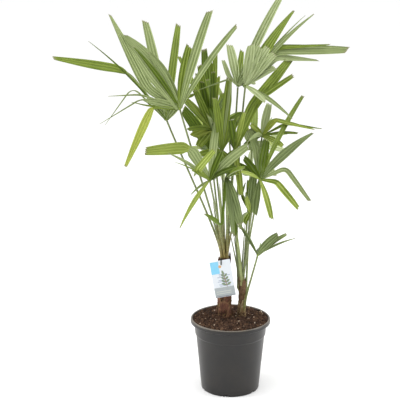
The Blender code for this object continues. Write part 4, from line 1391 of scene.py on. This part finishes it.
# %% Card shapes
CARD_WIDTH = 49 * MM
CARD_HEIGHT = 90 * MM
CARD_THICKNESS = 0.8 * MM
CARD_CENTRE = Vector((-19.2 * MM, -9 * MM, 274.3 * MM))
CARD_TURN = math.radians(-10)
INK = 0.06 * MM
CARD_IOR = 1.5
HALF_W = CARD_WIDTH / 2
HALF_H = CARD_HEIGHT / 2
OVAL_STEPS = 9
BAND_STEPS = 24
card_place = Matrix.Translation(CARD_CENTRE) @ Matrix.Rotation(CARD_TURN, 4, "Y")


def add_slab(mass, outline, front, back, skin):
    """A flat shape of (across, up) points, clockwise from the front, with a thickness."""
    ahead, behind = [
        [mass.point(card_place @ Vector((x, y, z)), (x, z)) for x, z in outline] for y in (front, back)
    ]
    mass.face(tuple(reversed(ahead)), skin)
    mass.face(tuple(behind), skin)
    for i in range(len(outline)):
        j = (i + 1) % len(outline)
        mass.face((ahead[i], ahead[j], behind[j], behind[i]), skin)


def rectangle(left, low, right, high):
    """A rectangle's corners, clockwise."""
    return [(left, low), (left, high), (right, high), (right, low)]


def round_card(radius, steps=6):
    """The board's outline, with rounded corners."""
    corners = []
    for sign_x, sign_z, start in ((-1, 1, math.pi), (1, 1, math.pi / 2), (1, -1, 0), (-1, -1, -math.pi / 2)):
        centre_x, centre_z = sign_x * (HALF_W - radius), sign_z * (HALF_H - radius)
        for step in range(steps + 1):
            a = start - math.pi / 2 * step / steps
            corners.append((centre_x + radius * math.cos(a), centre_z + radius * math.sin(a)))
    return corners


def leaf_print(x, z, turn, length, width):
    """A pointed oval that stands on (x, z), turned clockwise by some degrees."""
    turn = math.radians(turn)
    along = Vector((math.sin(turn), math.cos(turn)))
    aside = Vector((math.cos(turn), -math.sin(turn)))
    outline = []
    for side in (-1, 1):
        for step in range(OVAL_STEPS):
            t = step / OVAL_STEPS if side < 0 else 1 - step / OVAL_STEPS
            reach = along * length * t + aside * side * width / 2 * math.sin(math.pi * t) ** 0.8
            outline.append((x + reach.x, z + reach.y))
    return outline


def cloud_print(x, z, length, depth):
    """A long soft-ended band."""
    angles = [math.tau * i / BAND_STEPS for i in range(BAND_STEPS)]
    ends = [math.copysign(length / 2 - depth / 2, math.sin(a)) for a in angles]
    return [(x + end + depth / 2 * math.sin(a), z + depth / 2 * math.cos(a)) for a, end in zip(angles, ends)]


print("card", round(CARD_WIDTH / MM), "by", round(CARD_HEIGHT / MM), "mm")

# %% Card pieces
FRONT = -CARD_THICKNESS / 2
SKY, CLOUD, SUN, LEAF, SPRIG, GREY, CREAM, DARK = range(8)
board = Mass()
add_slab(board, round_card(2 * MM), FRONT, -FRONT, 0)
ink = Mass()


def stamp(outline, layer, skin):
    """Prints a shape on the board; the higher layers lie over the lower ones."""
    add_slab(ink, outline, FRONT - layer * INK, FRONT, skin)


stamp(rectangle(-HALF_W + 0.8 * MM, 13 * MM, -4 * MM, HALF_H - 2 * MM), 1, SKY)
stamp(cloud_print(-2 * MM, 30 * MM, 7 * MM, 7 * MM), 2, SUN)
for row in range(9):
    shift = (5 * math.sin(row * 2.4) + 2) * MM
    long = (20 + 6 * math.sin(row * 1.7)) * MM
    stamp(cloud_print(shift, (11 - row * 3.6) * MM, long, 1.9 * MM), 1, CLOUD)
for row in range(4):
    x, z = (7 - row * 0.8) * MM, (-17 + row * 7) * MM
    for side in (-1, 1):
        stamp(leaf_print(x, z, side * (62 - 6 * row), (13 - row) * MM, 5.2 * MM), 2, LEAF)
stamp(leaf_print(4 * MM, 8 * MM, -12, 13 * MM, 5.4 * MM), 2, LEAF)
stamp(leaf_print(8 * MM, -24 * MM, -7, 36 * MM, 2.4 * MM), 3, SPRIG)
stamp(rectangle(-HALF_W + 1 * MM, -HALF_H + 2 * MM, HALF_W - 1 * MM, -21 * MM), 3, GREY)
for low in (-37, -32):
    stamp(rectangle(-HALF_W + 5 * MM, low * MM, HALF_W - 9 * MM, (low + 1.8) * MM), 4, CREAM)
stamp(rectangle(-HALF_W + 1 * MM, -HALF_H + 1 * MM, HALF_W - 1 * MM, -HALF_H + 2.6 * MM), 4, DARK)
print("print", len(ink.faces), "faces")

# %% [markdown]
# The card is coated board and its print is ink under a satin varnish.
#
# Both are smooth with a soft shine. A faint unevenness of the varnish, about 6 mm wide,
# keeps the highlight from looking like plastic. The strap is plain black polyethylene,
# moulded in one piece, a little glossier than the pot.

# %% Card and strap finishes
VARNISH_SIZE = 6 * MM
STRAP_CLOUD = 4 * MM
STRAP_IOR = 1.51
INKS = {
    "sky_ink": "#7ccff2", "cloud_ink": "#aab5c9", "sun_ink": "#dba05f", "leaf_ink": "#6f8560",
    "sprig_ink": "#8d6f60", "grey_ink": "#a9b2b4", "cream_ink": "#ccd0c6", "dark_ink": "#565e62",
}


def varnished(name, code):
    """A smooth printed face under a slightly uneven varnish."""
    material, tree, shader = start_material(name, 0.38, CARD_IOR)
    place = add(tree, "TexCoord")["Object"]
    uneven = add(tree, "TexNoise", {"Vector": place, "Scale": 1 / VARNISH_SIZE, "Detail": 2.0})["Fac"]
    fade = add(tree, "MapRange", {"Value": uneven, "To Min": 0.0, "To Max": 0.12})["Result"]
    tone = add(tree, "Mix", {0: fade, 6: code, 7: "#ffffff"}, data_type="RGBA")[2]
    coat(shader, tone, add(tree, "Bump", {"Height": uneven, "Strength": 0.1, "Distance": 0.1 * MM})["Normal"])
    return material


make_piece("card_board", board, [varnished("coated_white_board", "#e4eaf1")], ["label_card"])
make_piece("card_print", ink, [varnished(*pair) for pair in INKS.items()])
strap_plastic, tree, shader = start_material("moulded_black_polyethylene", 0.4, STRAP_IOR)
place = add(tree, "TexCoord")["Object"]
matt = add(tree, "TexNoise", {"Vector": place, "Scale": 1 / STRAP_CLOUD, "Detail": 2.0})["Fac"]
coat(shader, add(tree, "Mix", {0: matt, 6: "#1b1c1a", 7: "#33342f"}, data_type="RGBA")[2])
print("inks", len(INKS))

# %% Strap
STRAP_WIDTH = 3 * MM
STRAP_THICKNESS = 1 * MM
STRAP_X = -23 * MM
STRAP_FOOT = 308 * MM
STRAP_TOP = 324 * MM
STRAP_END = 317 * MM
STRAP_LIFT = 4 * MM
STRAP_ROWS = 24
STRAP_SIDES = 12
strap_low, strap_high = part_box("label_strap")
strap_front = strap_low.y + STRAP_THICKNESS / 2
strap_rear = strap_high.y - STRAP_THICKNESS / 2
strap_top = STRAP_TOP + STRAP_LIFT
strap_depths = (strap_front, strap_front, strap_rear, strap_rear)
strap_heights = (STRAP_FOOT, strap_top, strap_top, STRAP_END)
strap_guide = [Vector((STRAP_X, y, z)) for y, z in zip(strap_depths, strap_heights)]


def squarish(value):
    """Pulls a circle's coordinate out towards a rounded rectangle's."""
    return math.copysign(abs(value) ** 0.4, value)


strap = Mass()
strap_line = [bezier(strap_guide, i / STRAP_ROWS) for i in range(STRAP_ROWS + 1)]
strap_rings = []
angles = [math.tau * (i + 0.5) / STRAP_SIDES for i in range(STRAP_SIDES)]
circle = [(squarish(math.cos(a)), squarish(math.sin(a))) for a in angles]
wide = Vector((STRAP_WIDTH / 2, 0, 0))
for index, centre in enumerate(strap_line):
    thick = follow(strap_line, index).cross(Vector((1, 0, 0))) * STRAP_THICKNESS / 2
    strap_rings.append([centre + wide * across + thick * out for across, out in circle])
add_tube(strap, strap_rings)
make_piece("strap_loop", strap, [strap_plastic], ["label_strap"])
print("strap", round((strap_rear - strap_front) / MM, 1), "mm deep")

# %% [markdown]
# Last, the box round all the visible pieces is measured and printed.

# %% Sizes and finish
low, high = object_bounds()
print("visual box", [round(v, 3) for v in low], [round(v, 3) for v in high])
